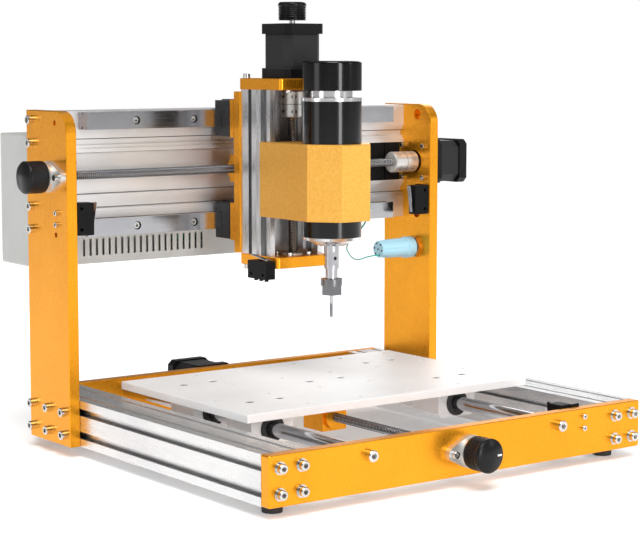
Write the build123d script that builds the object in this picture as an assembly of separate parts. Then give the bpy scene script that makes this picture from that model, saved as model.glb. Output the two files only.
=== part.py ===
from build123d import *
import math
import os

# Desktop CNC router, in millimetres.  x runs to the right, z runs up from the surface that it
# stands on, and y is measured back from the front face of the front plate.  The whole model is
# moved by MIDDLE_X and FRONT_Y when it is written, so that the origin is at the middle of its footprint.

# ---- driving sizes: base ---------------------------------------------------------------------
FOOT_H = 9
FOOT_R = 9
FOOT_INSET = 14
PLATE_T = 10
PLATE_CORNER_R = 1.5
EDGE_BREAK = 0.6
BASE_W = 390
PROFILE = 40
PROFILE_L = 350
SLOT_AT = 10
SLOT_MOUTH = 6.2
SLOT_INNER = 10
SLOT_DEPTH = 5.6
PROFILE_CORE = 8
ROD_R = 6
ROD_INSET = 95
ROD_Z = 38
ROD_THREAD = 16
Y_SCREW_Z = 29

# ---- driving sizes: gantry -------------------------------------------------------------------
UPRIGHT_D = 71
UPRIGHT_SET_BACK = 78
UPRIGHT_CORNER_R = 18
UPRIGHT_HOLE_INSETS = (9, 36.5, 65)
SIDE_HOLE_R = 2.25
SIDE_HOLE_DZS = (-50, 46)
BEAM_D = 30
BEAM_H = 110
BEAM_Z = 241
BEAM_RECESS = 37
BEAM_RECESS_D = 7
BEAM_SCREW_INSET = 10
RAIL_W = 15
RAIL_H = 15
RAIL_END_GAP = 25
RAIL_INSET = 8.5
RAIL_SCREW_PITCH = 60
RAIL_HEAD_DEPTH = 5.5
BLOCK_L = 61
BLOCK_W = 34
BLOCK_BODY = 24
BLOCK_STACK = 28
BLOCK_CAP = 8
COVER_W = 35
COVER_SEAM = 24

# ---- driving sizes: control box --------------------------------------------------------------
BOX_W = 260
BOX_INSET = 5
BOX_BELOW_BEAM = 83
BOX_ABOVE_BEAM = 34
BOX_D = 59
SHEET_T = 1.2
BOX_CORNER_R = 2
BOX_POST_W = 9.6
BOX_POST_L = 10
BOX_SCREW_INSET = 6
VENT_COUNT = 20
VENT_PITCH = 6.6
VENT_W = 2.3
VENT_H = 15
VENT_UP = 7
VENT_IN = 50
SOCKET_IN = 19
SOCKETS = ((27, 12, 11), (47, 9, 4))    # height above the box's floor, width and height
BOARD_W = 98
BOARD_T = 1.6
BOARD_STAND = 8
BOARD_INSET = 14

# ---- driving sizes: carriage and z axis ------------------------------------------------------
CARRIAGE_T = 10
CARRIAGE_PAD = 6
CARRIAGE_MARGIN = 10.5
CHANNEL_W = 57
CHANNEL_D = 45
CHANNEL_H = 147
CHANNEL_WALL = 5
CHANNEL_BACK = 8
CHANNEL_GROOVE_W = 4.8
CHANNEL_GROOVE_D = 1.6
CHANNEL_GROOVES = (7, 19, 31)
END_PLATE_T = 10
Z_SCREW_INSET = 6
TOP_PLATE_LIP = 2.35
BOTTOM_PLATE_REACH = 18
BOTTOM_PLATE_PITCH = 20
Z_RAIL_W = 9
Z_RAIL_H = 6
Z_RAIL_SET_BACK = 27
Z_RAIL_END_GAP = 3
SLIDER_H = 36
SLIDER_UP = 9.5
SLIDER_W = 26
SLIDER_D = 20
BEARING_R = 8
BEARING_LIP_R = 9.5
BEARING_LIP_T = 1.5

# ---- driving sizes: spindle and clamp --------------------------------------------------------
SPINDLE_R = 26
SPINDLE_L = 117.3
SPINDLE_WALL = 3
SPINDLE_BELOW_CLAMP = 14.8
STATOR_L = 74
STATOR_UP = 22
STATOR_WALL = 7.4
COLLAR_H = 3
NECK_IN = 8
NECK_H = 6
CAP_H = 25.6
CAP_WALL = 2.5
NOSE_H = 7.7
NOSE_PLUG = 9
SPINDLE_SHAFT_R = 6.5
SHAFT_BELOW = 28
COLLET_SHAFT_R = 5.4
COLLET_SHAFT_L = 8.9
COLLET_R = 9.5
COLLET_L = 14.1
COLLET_COLLAR = 6
TOOL_R = 1.5875
TOOL_REACH = 19.7
FLUTE_L = 12
FAN_BLADES = 9
CLAMP_SIDE_WALL = 8
CLAMP_FRONT_WALL = 9
CLAMP_ARM = 4.8
CLAMP_H = 66
CLAMP_UP = 35.5
CLAMP_WEB = 24.5
CLAMP_CLEAR = 1.5
CLAMP_FRONT_HALF = 15.3
CLAMP_SHOULDER = 10.6
CLAMP_BACK_REACH = 60
CLAMP_SLIT_X = 20
CLAMP_SLIT_W = 2
CLAMP_SCREW_BEHIND = 38
CLAMP_SCREW_INSET = 15
CLAMP_HEAD_DEPTH = 5.5

# ---- driving sizes: bed ----------------------------------------------------------------------
BED_W = 299
BED_D = 195
BED_T = 6.7
BED_TOP = 60.3
BED_FRONT = 94
BED_HOLE_R = 2.5
BED_HOLE_COLUMNS = 6
BED_HOLE_ROWS = 4
BED_HOLE_SIDE = 14.5
BED_HOLE_END = 12.75
BED_BLOCK_W = 42
BED_BLOCK_L = 36
BED_BLOCK_H = 28
BED_BLOCK_INSET = 36
BED_BLOCK_CHAMFER = 4
BED_BEARING_R = 10.5
BED_BEARING_INSET = 2
BED_SCREW_DX = 15
BED_SCREW_DY = 7
BED_HEAD_R = 4.2
BED_HEAD_DEPTH = 3.4
NUT_SCREW_DX = 17

# ---- driving sizes: bought parts -------------------------------------------------------------
SCREW_R = 4
SHAFT_R = 2.5
NUT_R = 5.1
NUT_FLANGE_R = 11
NUT_FLANGE_T = 3.5
NUT_L = 15
MOTOR_W = 42.3
MOTOR_HOLES = 31
MOTOR_SCREW_R = 1.5
MOTOR_BOSS_R = 11
MOTOR_BOSS_H = 2
MOTOR_CAP = 9
MOTOR_WAIST = 1.2
MOTOR_SHAFT_DEPTH = 22
X_MOTOR_L = 40
Y_MOTOR_L = 48
Z_MOTOR_L = 48
MOTOR_SHAFT_OUT = 20
COUPLING_R = 10
COUPLING_L = 28
Z_COUPLING_L = 23.5
FLANGE_L = 48
FLANGE_W = 27
FLANGE_T = 5
FLANGE_DEPTH = 9.5
FLANGE_BOSS_R = 12.5
FLANGE_HOLES = 37
KNOB_R = 14
KNOB_FLOOR = 4
KNOB_GRIP = 5
X_KNOB_L = 18.5
Y_KNOB_L = 18.5
Z_KNOB_L = 16
Z_KNOB_R = 12.5
Z_KNOB_GAP = 3
SWITCH_L = 28
SWITCH_H = 16
SWITCH_T = 10
SWITCH_FOOT = 10
SWITCH_HOLES = (-5, 5)
SWITCH_PIN_INSET = 5
LEVER_TILT = 8
LEVER_L = 25
LEVER_W = 4.4
LEVER_PIN_R = 0.7
CONNECTOR_L = 45
CONNECTOR_NUT_R = 11.5
CONNECTOR_NUT_T = 3
CONNECTOR_R = 10.5
CONNECTOR_END_R = 8.2
CONNECTOR_STRAIGHT = 20
CONNECTOR_THREAD_R = 6
WIRE_R = 0.7
M3_R = 1.5
M4_R = 2
M5_R = 2.5
M6_R = 3

# ---- clearances ------------------------------------------------------------------------------
FIT = 0.05       # shaft in a bore that it turns or slides in
SEAT = 0.1       # fastener in its hole, or a seated part in its pocket
SLIDE = 0.3      # rail block or guide around its rail
GAP = 0.5        # pieces that pass each other
AIR = 2          # turning piece and the opening around it

# ---- places worked out from the sizes above --------------------------------------------------
HALF_BASE = BASE_W / 2
HALF_OUT = HALF_BASE + PLATE_T
BASE_TOP = FOOT_H + PROFILE
BACK_PLATE_Y = PLATE_T + PROFILE_L
BASE_BACK = BACK_PLATE_Y + PLATE_T
ROD_X = HALF_BASE - ROD_INSET
PLATE_SCREW_ZS = (FOOT_H + SLOT_AT, BASE_TOP - SLOT_AT)
PLATE_SCREW_XS = (HALF_BASE - SLOT_AT, HALF_BASE - PROFILE + SLOT_AT)
FLANGE_SCREW_OFFSETS = (-FLANGE_HOLES / 2, FLANGE_HOLES / 2)

UPRIGHT_FRONT = BACK_PLATE_Y - UPRIGHT_SET_BACK
UPRIGHT_BACK = UPRIGHT_FRONT + UPRIGHT_D
UPRIGHT_TOP = BEAM_Z + BEAM_H / 2 + 1
UPRIGHT_SCREW_YS = [UPRIGHT_FRONT + inset for inset in UPRIGHT_HOLE_INSETS]
SIDE_HOLE_Y = UPRIGHT_FRONT + 20
BEAM_FRONT = UPRIGHT_BACK - BEAM_D
BEAM_SCREW_Y = UPRIGHT_BACK - BEAM_SCREW_INSET
BEAM_SCREW_DZS = [s * (BEAM_H / 2 - inset) for s in (-1, 1) for inset in (7.5, 27.5)]
RAIL_L = BASE_W - 2 * RAIL_END_GAP
RAIL_OFFSET = BEAM_H / 2 - RAIL_INSET
RAIL_FRONT = BEAM_FRONT - RAIL_H
RAIL_ZS = (BEAM_Z - RAIL_OFFSET, BEAM_Z + RAIL_OFFSET)
BLOCK_FRONT = BEAM_FRONT - BLOCK_STACK
X_SCREW_Y = RAIL_FRONT - 1
X_SCREW_Z = BEAM_Z

CARRIAGE_W = CHANNEL_W + 3
CARRIAGE_BACK = BLOCK_FRONT - CARRIAGE_PAD
CARRIAGE_FRONT = CARRIAGE_BACK - CARRIAGE_T
CARRIAGE_BOTTOM = RAIL_ZS[0] - BLOCK_W / 2 - CARRIAGE_MARGIN
CARRIAGE_TOP = RAIL_ZS[1] + BLOCK_W / 2 + CARRIAGE_MARGIN - 3
CHANNEL_FRONT = CARRIAGE_FRONT - CHANNEL_D
CHANNEL_TOP = CARRIAGE_BOTTOM + CHANNEL_H
TOP_PLATE_TOP = CHANNEL_TOP + END_PLATE_T
BOTTOM_PLATE_Z = CARRIAGE_BOTTOM - END_PLATE_T
Z_SCREW_Y = CHANNEL_FRONT + Z_SCREW_INSET
TOP_PLATE_FRONT = Z_SCREW_Y - MOTOR_W / 2 - TOP_PLATE_LIP
BOTTOM_PLATE_FRONT = Z_SCREW_Y - BOTTOM_PLATE_REACH
Z_RAIL_Y = CARRIAGE_FRONT - Z_RAIL_SET_BACK
Z_MOTOR_TOP = TOP_PLATE_TOP + Z_MOTOR_L

CLAMP_HALF_W = max(SPINDLE_R + CLAMP_SIDE_WALL, CHANNEL_W / 2 + 0.7 + CLAMP_ARM)
CLAMP_BOTTOM = CARRIAGE_BOTTOM + CLAMP_UP
CLAMP_TOP = CLAMP_BOTTOM + CLAMP_H
CLAMP_FLOOR = CHANNEL_FRONT - CLAMP_CLEAR
SPINDLE_Y = CLAMP_FLOOR - CLAMP_WEB - SPINDLE_R
CLAMP_SCREW_Y = SPINDLE_Y + CLAMP_SCREW_BEHIND
SPINDLE_BOTTOM = CLAMP_BOTTOM - SPINDLE_BELOW_CLAMP
SPINDLE_TOP = SPINDLE_BOTTOM + SPINDLE_L
CAP_Z = SPINDLE_TOP + COLLAR_H + NECK_H
STATOR_Z = SPINDLE_BOTTOM + STATOR_UP
STATOR_INNER_R = SPINDLE_R - SPINDLE_WALL - SEAT - STATOR_WALL
SHAFT_STEP_Z = SPINDLE_BOTTOM - SHAFT_BELOW
COLLET_TOP = SHAFT_STEP_Z - COLLET_SHAFT_L
COLLET_BOTTOM = COLLET_TOP - COLLET_L
COLLET_EDGE_Z = COLLET_TOP - COLLET_COLLAR
TOOL_TIP = COLLET_BOTTOM - TOOL_REACH

BED_Z = BED_TOP - BED_T
BED_MID = BED_FRONT + BED_D / 2
BED_BLOCK_YS = (
    BED_FRONT + BED_BLOCK_INSET + BED_BLOCK_L / 2,
    BED_FRONT + BED_D - BED_BLOCK_INSET - BED_BLOCK_L / 2,
)
BED_HOLE_DX = (BED_W - 2 * BED_HOLE_SIDE) / (BED_HOLE_COLUMNS - 1)
BED_HOLE_DY = (BED_D - 2 * BED_HOLE_END) / (BED_HOLE_ROWS - 1)

X_COUPLING_MID = HALF_BASE - COUPLING_L / 2 - 1
Y_COUPLING_MID = BACK_PLATE_Y - COUPLING_L / 2 - 6
Z_COUPLING_MID = CHANNEL_TOP - Z_COUPLING_L / 2 - 1

BOX_LEFT = -HALF_OUT + BOX_INSET
BOX_RIGHT = BOX_LEFT + BOX_W
BOX_BOTTOM = BEAM_Z - BOX_BELOW_BEAM
BOX_TOP = BEAM_Z + BOX_ABOVE_BEAM
SOCKET_Y = UPRIGHT_BACK + SOCKET_IN
VENT_Z = BOX_BOTTOM + VENT_UP
VENT_FIRST_X = BOX_LEFT + VENT_IN

X_SWITCH_Y = UPRIGHT_FRONT + 11.5
X_SWITCH_Z = BEAM_Z - 36
Y_SWITCH_X = HALF_BASE - PROFILE - 32
Y_SWITCH_Z = BASE_TOP - 11.5
Z_SWITCH_X = 1 - CARRIAGE_W / 2
Z_SWITCH_Z = BOTTOM_PLATE_Z - 10.5
LEVER_PIVOT = (SWITCH_H + 1.9, -SWITCH_L / 2 + 3)
CONNECTOR_Y = UPRIGHT_FRONT + 24
CONNECTOR_Z = BEAM_Z - 84

FRONT_REACH = FLANGE_DEPTH + Y_KNOB_L
BACK_REACH = max(BASE_BACK + Y_MOTOR_L, UPRIGHT_BACK + BOX_D)
FRONT_Y = (FRONT_REACH - BACK_REACH) / 2
LEFT_REACH = HALF_OUT + FLANGE_DEPTH + X_KNOB_L
RIGHT_REACH = HALF_OUT + X_MOTOR_L
MIDDLE_X = (LEFT_REACH - RIGHT_REACH) / 2

# Free wire's route, chosen by hand: out of the connector and up to the side of the z channel.
WIRE_ROUTE = [
    (150, 304, 151.5),
    (138, 304, 151.5),
    (118, 295, 149.5),
    (94, 273, 154),
    (69, 248, 163),
    (52, 229, 171),
    (44, 214, 177.5),
    (43, 200, 187),
    (45, 189, 199),
    (47, 186, 213),
    (48, 194, 225),
    (48, 210, 231),
    (46, 228, 233),
    (43, 243, 232),
    (38, 257, 230),
    (28.5, 257, 230),
]

AXIS_TURNS = {
    "+x": (0, 90, 0),
    "-x": (0, -90, 0),
    "+y": (-90, 0, 0),
    "-y": (90, 0, 0),
    "+z": (0, 0, 0),
    "-z": (180, 0, 0),
}
FROM_BASE = (Align.CENTER, Align.CENTER, Align.MIN)


# ---- small building helpers ------------------------------------------------------------------
def box(x0, x1, y0, y1, z0, z1):
    return Pos((x0 + x1) / 2, (y0 + y1) / 2, (z0 + z1) / 2) * Box(x1 - x0, y1 - y0, z1 - z0)


def facing(x, y, z, way):
    """Location at a point, with its own z axis along the named way."""
    return Location((x, y, z), AXIS_TURNS[way])


def round_bar(x, y, z, way, radius, length):
    return facing(x, y, z, way) * Cylinder(radius, length, align=FROM_BASE)


def tube(x, y, z, way, outer, inner, length):
    wall = Cylinder(outer, length, align=FROM_BASE) - Cylinder(inner, length, align=FROM_BASE)
    return facing(x, y, z, way) * wall


def rect(a0, a1, b0, b1):
    return Pos((a0 + a1) / 2, (b0 + b1) / 2) * Rectangle(a1 - a0, b1 - b0)


def outline(points):
    return make_face(Polyline(*points, close=True))


def prism_x(sketch, x0, x1):
    """Sketch of (y, z) carried along x."""
    plane = Plane(origin=(x0, 0, 0), x_dir=(0, 1, 0), z_dir=(1, 0, 0))
    return extrude(plane * sketch, amount=x1 - x0)


def prism_y(sketch, y0, y1):
    """Sketch of (x, z) carried along y."""
    plane = Plane(origin=(0, y1, 0), x_dir=(1, 0, 0), z_dir=(0, -1, 0))
    return extrude(plane * sketch, amount=y1 - y0)


def prism_z(sketch, z0, z1):
    """Sketch of (x, y) carried up z."""
    return extrude(Plane.XY.offset(z0) * sketch, amount=z1 - z0)


def both_sides(make):
    """The right-hand piece and its mirror image on the left."""
    right = make()
    return [right, mirror(right, about=Plane.YZ)]


def socket_screw(x, y, z, way, size, length, washer=False):
    """Socket-head cap screw: the head sits on the surface point, the shank runs the named way."""
    head_r = size * 0.78
    stack = size * 0.2 if washer else 0
    head = Pos(0, 0, -stack - size) * Cylinder(head_r, size, align=FROM_BASE)
    head = chamfer(head.edges().group_by(Axis.Z)[0], size * 0.1)
    shank = Pos(0, 0, -stack) * Cylinder(size / 2 - SEAT, length + stack, align=FROM_BASE)
    key = Pos(0, 0, -stack - size) * extrude(RegularPolygon(size * 0.45, 6), amount=size * 0.55)
    pieces = [facing(x, y, z, way) * (head + shank - key)]
    if washer:
        ring = Circle(size * 1.02) - Circle(size / 2 + SEAT)
        pieces.append(facing(x, y, z, way) * Pos(0, 0, -stack) * extrude(ring, amount=stack))
    return pieces


def flush_screw(x, y, z, way, size, length):
    """Countersunk-style screw whose head lies just under the surface point."""
    head = Cylinder(size * 0.8, size * 0.6, align=FROM_BASE)
    shank = Cylinder(size / 2 - SEAT, length, align=FROM_BASE)
    key = extrude(RegularPolygon(size * 0.4, 6), amount=size * 0.4)
    return facing(x, y, z, way) * (head + shank - key)


def break_edges(shape, axis):
    """Small chamfer around both faces that look along the axis."""
    faces = shape.faces().sort_by(axis)
    return chamfer(faces[0].edges() + faces[-1].edges(), EDGE_BREAK)


def square_pattern(pitch):
    return [(a * pitch / 2, b * pitch / 2) for a in (-1, 1) for b in (-1, 1)]


def fluted_knob(x, y, z, way, radius, length, bore, flutes):
    """Knob with straight flutes; its back face is at the point."""
    body = Cylinder(radius, length, align=FROM_BASE)
    body = chamfer(body.edges().group_by(Axis.Z)[-1], 1.5)
    groove = Pos(radius + 0.25, 0, 2) * Cylinder(0.8, length, align=FROM_BASE)
    cuts = [Rot(0, 0, 360 * i / flutes) * groove for i in range(flutes)]
    body = body - cuts - Cylinder(bore, length - KNOB_FLOOR, align=FROM_BASE)
    return facing(x, y, z, way) * body


def coupling(x, y, z, way, length):
    """Shaft coupling, centred on the point, with two set-screw holes at each end."""
    half = length / 2
    body = Cylinder(COUPLING_R, length)
    body = chamfer(body.edges().filter_by(GeomType.CIRCLE), 0.8)
    body = body - Pos(0, 0, -half) * Cylinder(SCREW_R + FIT, half, align=FROM_BASE)
    body = body - Cylinder(SHAFT_R + FIT, half, align=FROM_BASE)
    for end in (-1, 1):
        hole = Pos(0, 0, end * length * 0.28) * Rot(-90, 0, 0) * Cylinder(2, 2 * COUPLING_R, align=FROM_BASE)
        body = body - hole - Rot(0, 0, 90) * hole
    return facing(x, y, z, way) * body


def motor(x, y, z, way, length, shaft_bore_depth):
    """Stepping motor; its front face is at the point and its body runs the named way."""
    body = extrude(chamfer(Rectangle(MOTOR_W, MOTOR_W).vertices(), 4.5), amount=length)
    boss = Pos(0, 0, -MOTOR_BOSS_H) * Cylinder(MOTOR_BOSS_R, MOTOR_BOSS_H, align=FROM_BASE)
    step = MOTOR_W / 2 - MOTOR_WAIST
    waist = rect(-MOTOR_W, MOTOR_W, -MOTOR_W, MOTOR_W) - chamfer(Rectangle(2 * step, 2 * step).vertices(), 7)
    body = body - Pos(0, 0, MOTOR_CAP) * extrude(waist, amount=length - 2 * MOTOR_CAP)
    shaft_bore = Cylinder(SHAFT_R + FIT, shaft_bore_depth + MOTOR_BOSS_H, align=FROM_BASE)
    body = body + boss - Pos(0, 0, -MOTOR_BOSS_H) * shaft_bore
    for a, b in square_pattern(MOTOR_HOLES):
        body = body - Pos(a, b, 0) * Cylinder(MOTOR_SCREW_R, 6, align=FROM_BASE)
    return facing(x, y, z, way) * body


def motor_face_cuts(x, y, z, way):
    """Pilot bore and four screw holes for a motor, through a plate that starts at the point."""
    cuts = [round_bar(x, y, z, way, MOTOR_BOSS_R + SEAT, PLATE_T)]
    for a, b in square_pattern(MOTOR_HOLES):
        hole = Cylinder(MOTOR_SCREW_R + SEAT, PLATE_T, align=FROM_BASE)
        cuts.append(facing(x, y, z, way) * Pos(a, b, 0) * hole)
    return cuts


def motor_screws(x, y, z, way):
    place = facing(x, y, z, way)
    found = []
    for a, b in square_pattern(MOTOR_HOLES):
        for piece in socket_screw(0, 0, 0, "+z", 3, PLATE_T + 5):
            found.append(place * Pos(a, b, 0) * piece)
    return found


def flange_bearing(x, y, z, way, turn=0):
    """Oval two-bolt flange bearing; its back face is at the point and it stands out the named way."""
    half = FLANGE_HOLES / 2
    ends = [Pos(s * half, 0) * Circle((FLANGE_L - FLANGE_HOLES) / 2) for s in (-1, 1)]
    plate = extrude(make_hull((Circle(FLANGE_W / 2) + ends).edges()), amount=FLANGE_T)
    boss = Cylinder(FLANGE_BOSS_R, FLANGE_DEPTH, align=FROM_BASE)
    boss = chamfer(boss.edges().group_by(Axis.Z)[-1], 1)
    body = plate + boss - Cylinder(SCREW_R + FIT, FLANGE_DEPTH, align=FROM_BASE)
    for s in (-1, 1):
        body = body - Pos(s * half, 0, 0) * Cylinder(M5_R + SEAT, FLANGE_T, align=FROM_BASE)
    return facing(x, y, z, way) * Rot(0, 0, turn) * body


# ---- base ------------------------------------------------------------------------------------
def end_plate(y0):
    """Front or back plate with its screw holes; motor or bearing holes are cut separately."""
    plate = box(-HALF_BASE, HALF_BASE, y0, y0 + PLATE_T, FOOT_H, BASE_TOP)
    plate = break_edges(fillet(plate.edges().filter_by(Axis.Y), PLATE_CORNER_R), Axis.Y)
    for side in (-1, 1):
        for x in PLATE_SCREW_XS:
            for z in PLATE_SCREW_ZS:
                plate = plate - round_bar(side * x, y0, z, "+y", M5_R + SEAT, PLATE_T)
        plate = plate - round_bar(side * ROD_X, y0, ROD_Z, "+y", M6_R + SEAT, PLATE_T)
    return plate


def front_plate():
    plate = end_plate(0) - round_bar(0, 0, Y_SCREW_Z, "+y", SCREW_R + 1, PLATE_T)
    for dx in FLANGE_SCREW_OFFSETS:
        plate = plate - round_bar(dx, 0, Y_SCREW_Z, "+y", M4_R + SEAT, PLATE_T)
    for dz in SWITCH_HOLES:
        x = Y_SWITCH_X + SWITCH_FOOT / 2
        plate = plate - round_bar(x, 0, Y_SWITCH_Z + dz, "+y", M3_R + SEAT, PLATE_T)
    return plate


def back_plate():
    return end_plate(BACK_PLATE_Y) - motor_face_cuts(0, BACK_PLATE_Y, Y_SCREW_Z, "+y")


def side_profile():
    """T-slotted aluminium profile on the right: two slots on the inner and two on the outer face."""
    x0 = HALF_BASE - PROFILE
    section = rect(x0, HALF_BASE, FOOT_H, BASE_TOP)
    for z in PLATE_SCREW_ZS:
        for face_x, way in ((x0, 1), (HALF_BASE, -1)):
            mouth = sorted((face_x, face_x + way * 2))
            inner = sorted((face_x + way * 1.8, face_x + way * SLOT_DEPTH))
            section = section - rect(*mouth, z - SLOT_MOUTH / 2, z + SLOT_MOUTH / 2)
            section = section - rect(*inner, z - SLOT_INNER / 2, z + SLOT_INNER / 2)
    for x in (HALF_BASE - SLOT_AT, x0 + SLOT_AT):
        section = section - rect(x - 2, x + 2, BASE_TOP - 0.8, BASE_TOP)
        for z in PLATE_SCREW_ZS:
            section = section - Pos(x, z) * Circle(M5_R + SEAT)
    middle = HALF_BASE - PROFILE / 2
    core = PROFILE_CORE / 2
    section = section - rect(middle - core, middle + core, FOOT_H + 6, BASE_TOP - 6)
    return prism_y(section, PLATE_T, BACK_PLATE_Y)


def y_rods():
    def rod():
        bar = round_bar(ROD_X, PLATE_T, ROD_Z, "+y", ROD_R, PROFILE_L)
        bar = chamfer(bar.edges().filter_by(GeomType.CIRCLE), 0.6)
        for y, way in ((PLATE_T, "+y"), (BACK_PLATE_Y, "-y")):
            bar = bar - round_bar(ROD_X, y, ROD_Z, way, M6_R + SEAT, ROD_THREAD)
        return bar
    return both_sides(rod)


def rubber_feet():
    """Four tapered feet under the side profiles, near their ends."""
    feet = []
    for side in (-1, 1):
        for y in (PLATE_T + FOOT_INSET, BACK_PLATE_Y - FOOT_INSET):
            foot = Cone(FOOT_R - 1, FOOT_R, FOOT_H, align=FROM_BASE)
            feet.append(Pos(side * (HALF_BASE - PROFILE / 2), y, 0) * foot)
    return feet


def base_screws():
    """M5 screws with washers into the profiles, and M6 screws into the ends of the rods."""
    screws = []
    for side in (-1, 1):
        for y, way in ((0, "+y"), (BASE_BACK, "-y")):
            for x in PLATE_SCREW_XS:
                for z in PLATE_SCREW_ZS:
                    screws += socket_screw(side * x, y, z, way, 5, PLATE_T + 15, washer=True)
            screws += socket_screw(side * ROD_X, y, ROD_Z, way, 6, PLATE_T + 12)
    return screws


# ---- gantry ----------------------------------------------------------------------------------
def upright_shape(side):
    """Upright plate with rounded top front corner, base screw holes and beam screw holes."""
    x0 = HALF_BASE if side > 0 else -HALF_OUT
    face = rect(UPRIGHT_FRONT, UPRIGHT_BACK, FOOT_H, UPRIGHT_TOP)
    corner = face.vertices().group_by(Axis.Y)[-1].sort_by(Axis.X)[0]
    plate = break_edges(prism_x(fillet(corner, UPRIGHT_CORNER_R), x0, x0 + PLATE_T), Axis.X)
    for y in UPRIGHT_SCREW_YS:
        for z in PLATE_SCREW_ZS:
            plate = plate - round_bar(x0, y, z, "+x", M5_R + SEAT, PLATE_T)
    for dz in BEAM_SCREW_DZS:
        plate = plate - round_bar(x0, BEAM_SCREW_Y, BEAM_Z + dz, "+x", M5_R + SEAT, PLATE_T)
    way = "-x" if side < 0 else "+x"
    for dz in SIDE_HOLE_DZS:
        plate = plate - round_bar(x0, SIDE_HOLE_Y, BEAM_Z + dz, "+x", SIDE_HOLE_R, PLATE_T)
        plate = plate - round_bar(side * HALF_BASE, SIDE_HOLE_Y, BEAM_Z + dz, way, 2 * M5_R, 4)
    for dz in SWITCH_HOLES:
        hole_y = X_SWITCH_Y + SWITCH_FOOT / 2
        plate = plate - round_bar(x0, hole_y, X_SWITCH_Z + dz, "+x", M3_R + SEAT, PLATE_T)
    return plate


def left_upright():
    plate = upright_shape(-1) - round_bar(-HALF_OUT, X_SCREW_Y, X_SCREW_Z, "+x", SCREW_R + 1, PLATE_T)
    for dy in FLANGE_SCREW_OFFSETS:
        plate = plate - round_bar(-HALF_OUT, X_SCREW_Y + dy, X_SCREW_Z, "+x", M4_R + SEAT, PLATE_T)
    return plate


def right_upright():
    plate = upright_shape(1) - motor_face_cuts(HALF_BASE, X_SCREW_Y, X_SCREW_Z, "+x")
    return plate - round_bar(HALF_BASE, CONNECTOR_Y, CONNECTOR_Z, "+x", CONNECTOR_THREAD_R + SEAT, PLATE_T)


def gantry_beam():
    """Extruded beam: lands for the rails, grooves above and below, and a recess along the middle."""
    back = UPRIGHT_BACK
    half = BEAM_RECESS / 2
    land = RAIL_OFFSET - RAIL_W / 2 - 5
    section = rect(BEAM_FRONT, back, BEAM_Z - BEAM_H / 2, BEAM_Z + BEAM_H / 2)
    section = section - rect(BEAM_FRONT, BEAM_FRONT + BEAM_RECESS_D, BEAM_Z - half, BEAM_Z + half)
    for s in (-1, 1):
        near, far = sorted((BEAM_Z + s * (half + 3.5), BEAM_Z + s * land))
        section = section - rect(BEAM_FRONT, BEAM_FRONT + 2, near, far)
        section = section - rect(BEAM_FRONT + 2, BEAM_FRONT + 5, near + 3, far - 3)
        slot_z = BEAM_Z + s * 13
        section = section - rect(back - 7, back, slot_z - SLOT_MOUTH / 2, slot_z + SLOT_MOUTH / 2)
        pocket_z = BEAM_Z + s * RAIL_OFFSET
        section = section - rect(back - 22, back - 14, pocket_z - 5, pocket_z + 5)
    section = section - rect(back - 19, back - 10, BEAM_Z - 9, BEAM_Z + 9)
    for dz in BEAM_SCREW_DZS:
        section = section - Pos(BEAM_SCREW_Y, BEAM_Z + dz) * Circle(M5_R + SEAT)
    beam = prism_x(section, -HALF_BASE, HALF_BASE)
    for z in RAIL_ZS:
        for x in rail_screw_xs():
            beam = beam - round_bar(x, BEAM_FRONT, z, "+y", M4_R + SEAT, 8)
    return beam


def rail_screw_xs():
    count = int(RAIL_L // RAIL_SCREW_PITCH)
    first = -RAIL_SCREW_PITCH * (count - 1) / 2
    return [first + RAIL_SCREW_PITCH * i for i in range(count)]


def beam_end_cover():
    """Two thin black plates that close the beam's recess beside the right upright."""
    seam = HALF_BASE - COVER_SEAM
    y0, y1 = BEAM_FRONT, BEAM_FRONT + BEAM_RECESS_D
    z0, z1 = BEAM_Z - BEAM_RECESS / 2, BEAM_Z + BEAM_RECESS / 2
    inner = box(HALF_BASE - COVER_W - 5, seam - GAP, y0, y1, z0, z1)
    outer = box(seam + GAP, HALF_BASE - 5, y0, y1, z0, z1)
    return [inner, outer]


def rail_section(front, z, grow=0):
    """Square rail with a waist on each side, grown by a clearance for the block's cut-out."""
    half = RAIL_W / 2 + grow
    waist = half - 2.5
    back = front + RAIL_H
    top = front - grow
    side = [
        (top, half),
        (front + 5, half),
        (front + 7, waist),
        (front + 9, waist),
        (front + 11, half),
        (back, half),
    ]
    points = [(y, z + h) for y, h in side] + [(y, z - h) for y, h in reversed(side)]
    return outline(points)


def x_rails():
    rails = []
    for z in RAIL_ZS:
        rail = prism_x(rail_section(RAIL_FRONT, z), -RAIL_L / 2, RAIL_L / 2)
        for x in rail_screw_xs():
            rail = rail - round_bar(x, RAIL_FRONT, z, "+y", M4_R + SEAT, RAIL_H)
            rail = rail - round_bar(x, RAIL_FRONT, z, "+y", 3.75, RAIL_HEAD_DEPTH)
        rails.append(rail)
    return rails


def m5_screws():
    """Screws of the uprights, the beam's ends and the rails."""
    screws = []
    for side, way in ((-1, "+x"), (1, "-x")):
        for y in UPRIGHT_SCREW_YS:
            for z in PLATE_SCREW_ZS:
                screws += socket_screw(side * HALF_OUT, y, z, way, 5, PLATE_T + 1.5)
        for dz in BEAM_SCREW_DZS:
            screws += socket_screw(side * HALF_OUT, BEAM_SCREW_Y, BEAM_Z + dz, way, 5, PLATE_T + 15)
    for z in RAIL_ZS:
        for x in rail_screw_xs():
            screws += socket_screw(x, RAIL_FRONT + RAIL_HEAD_DEPTH, z, "+y", 4, RAIL_H)
    return screws


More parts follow.
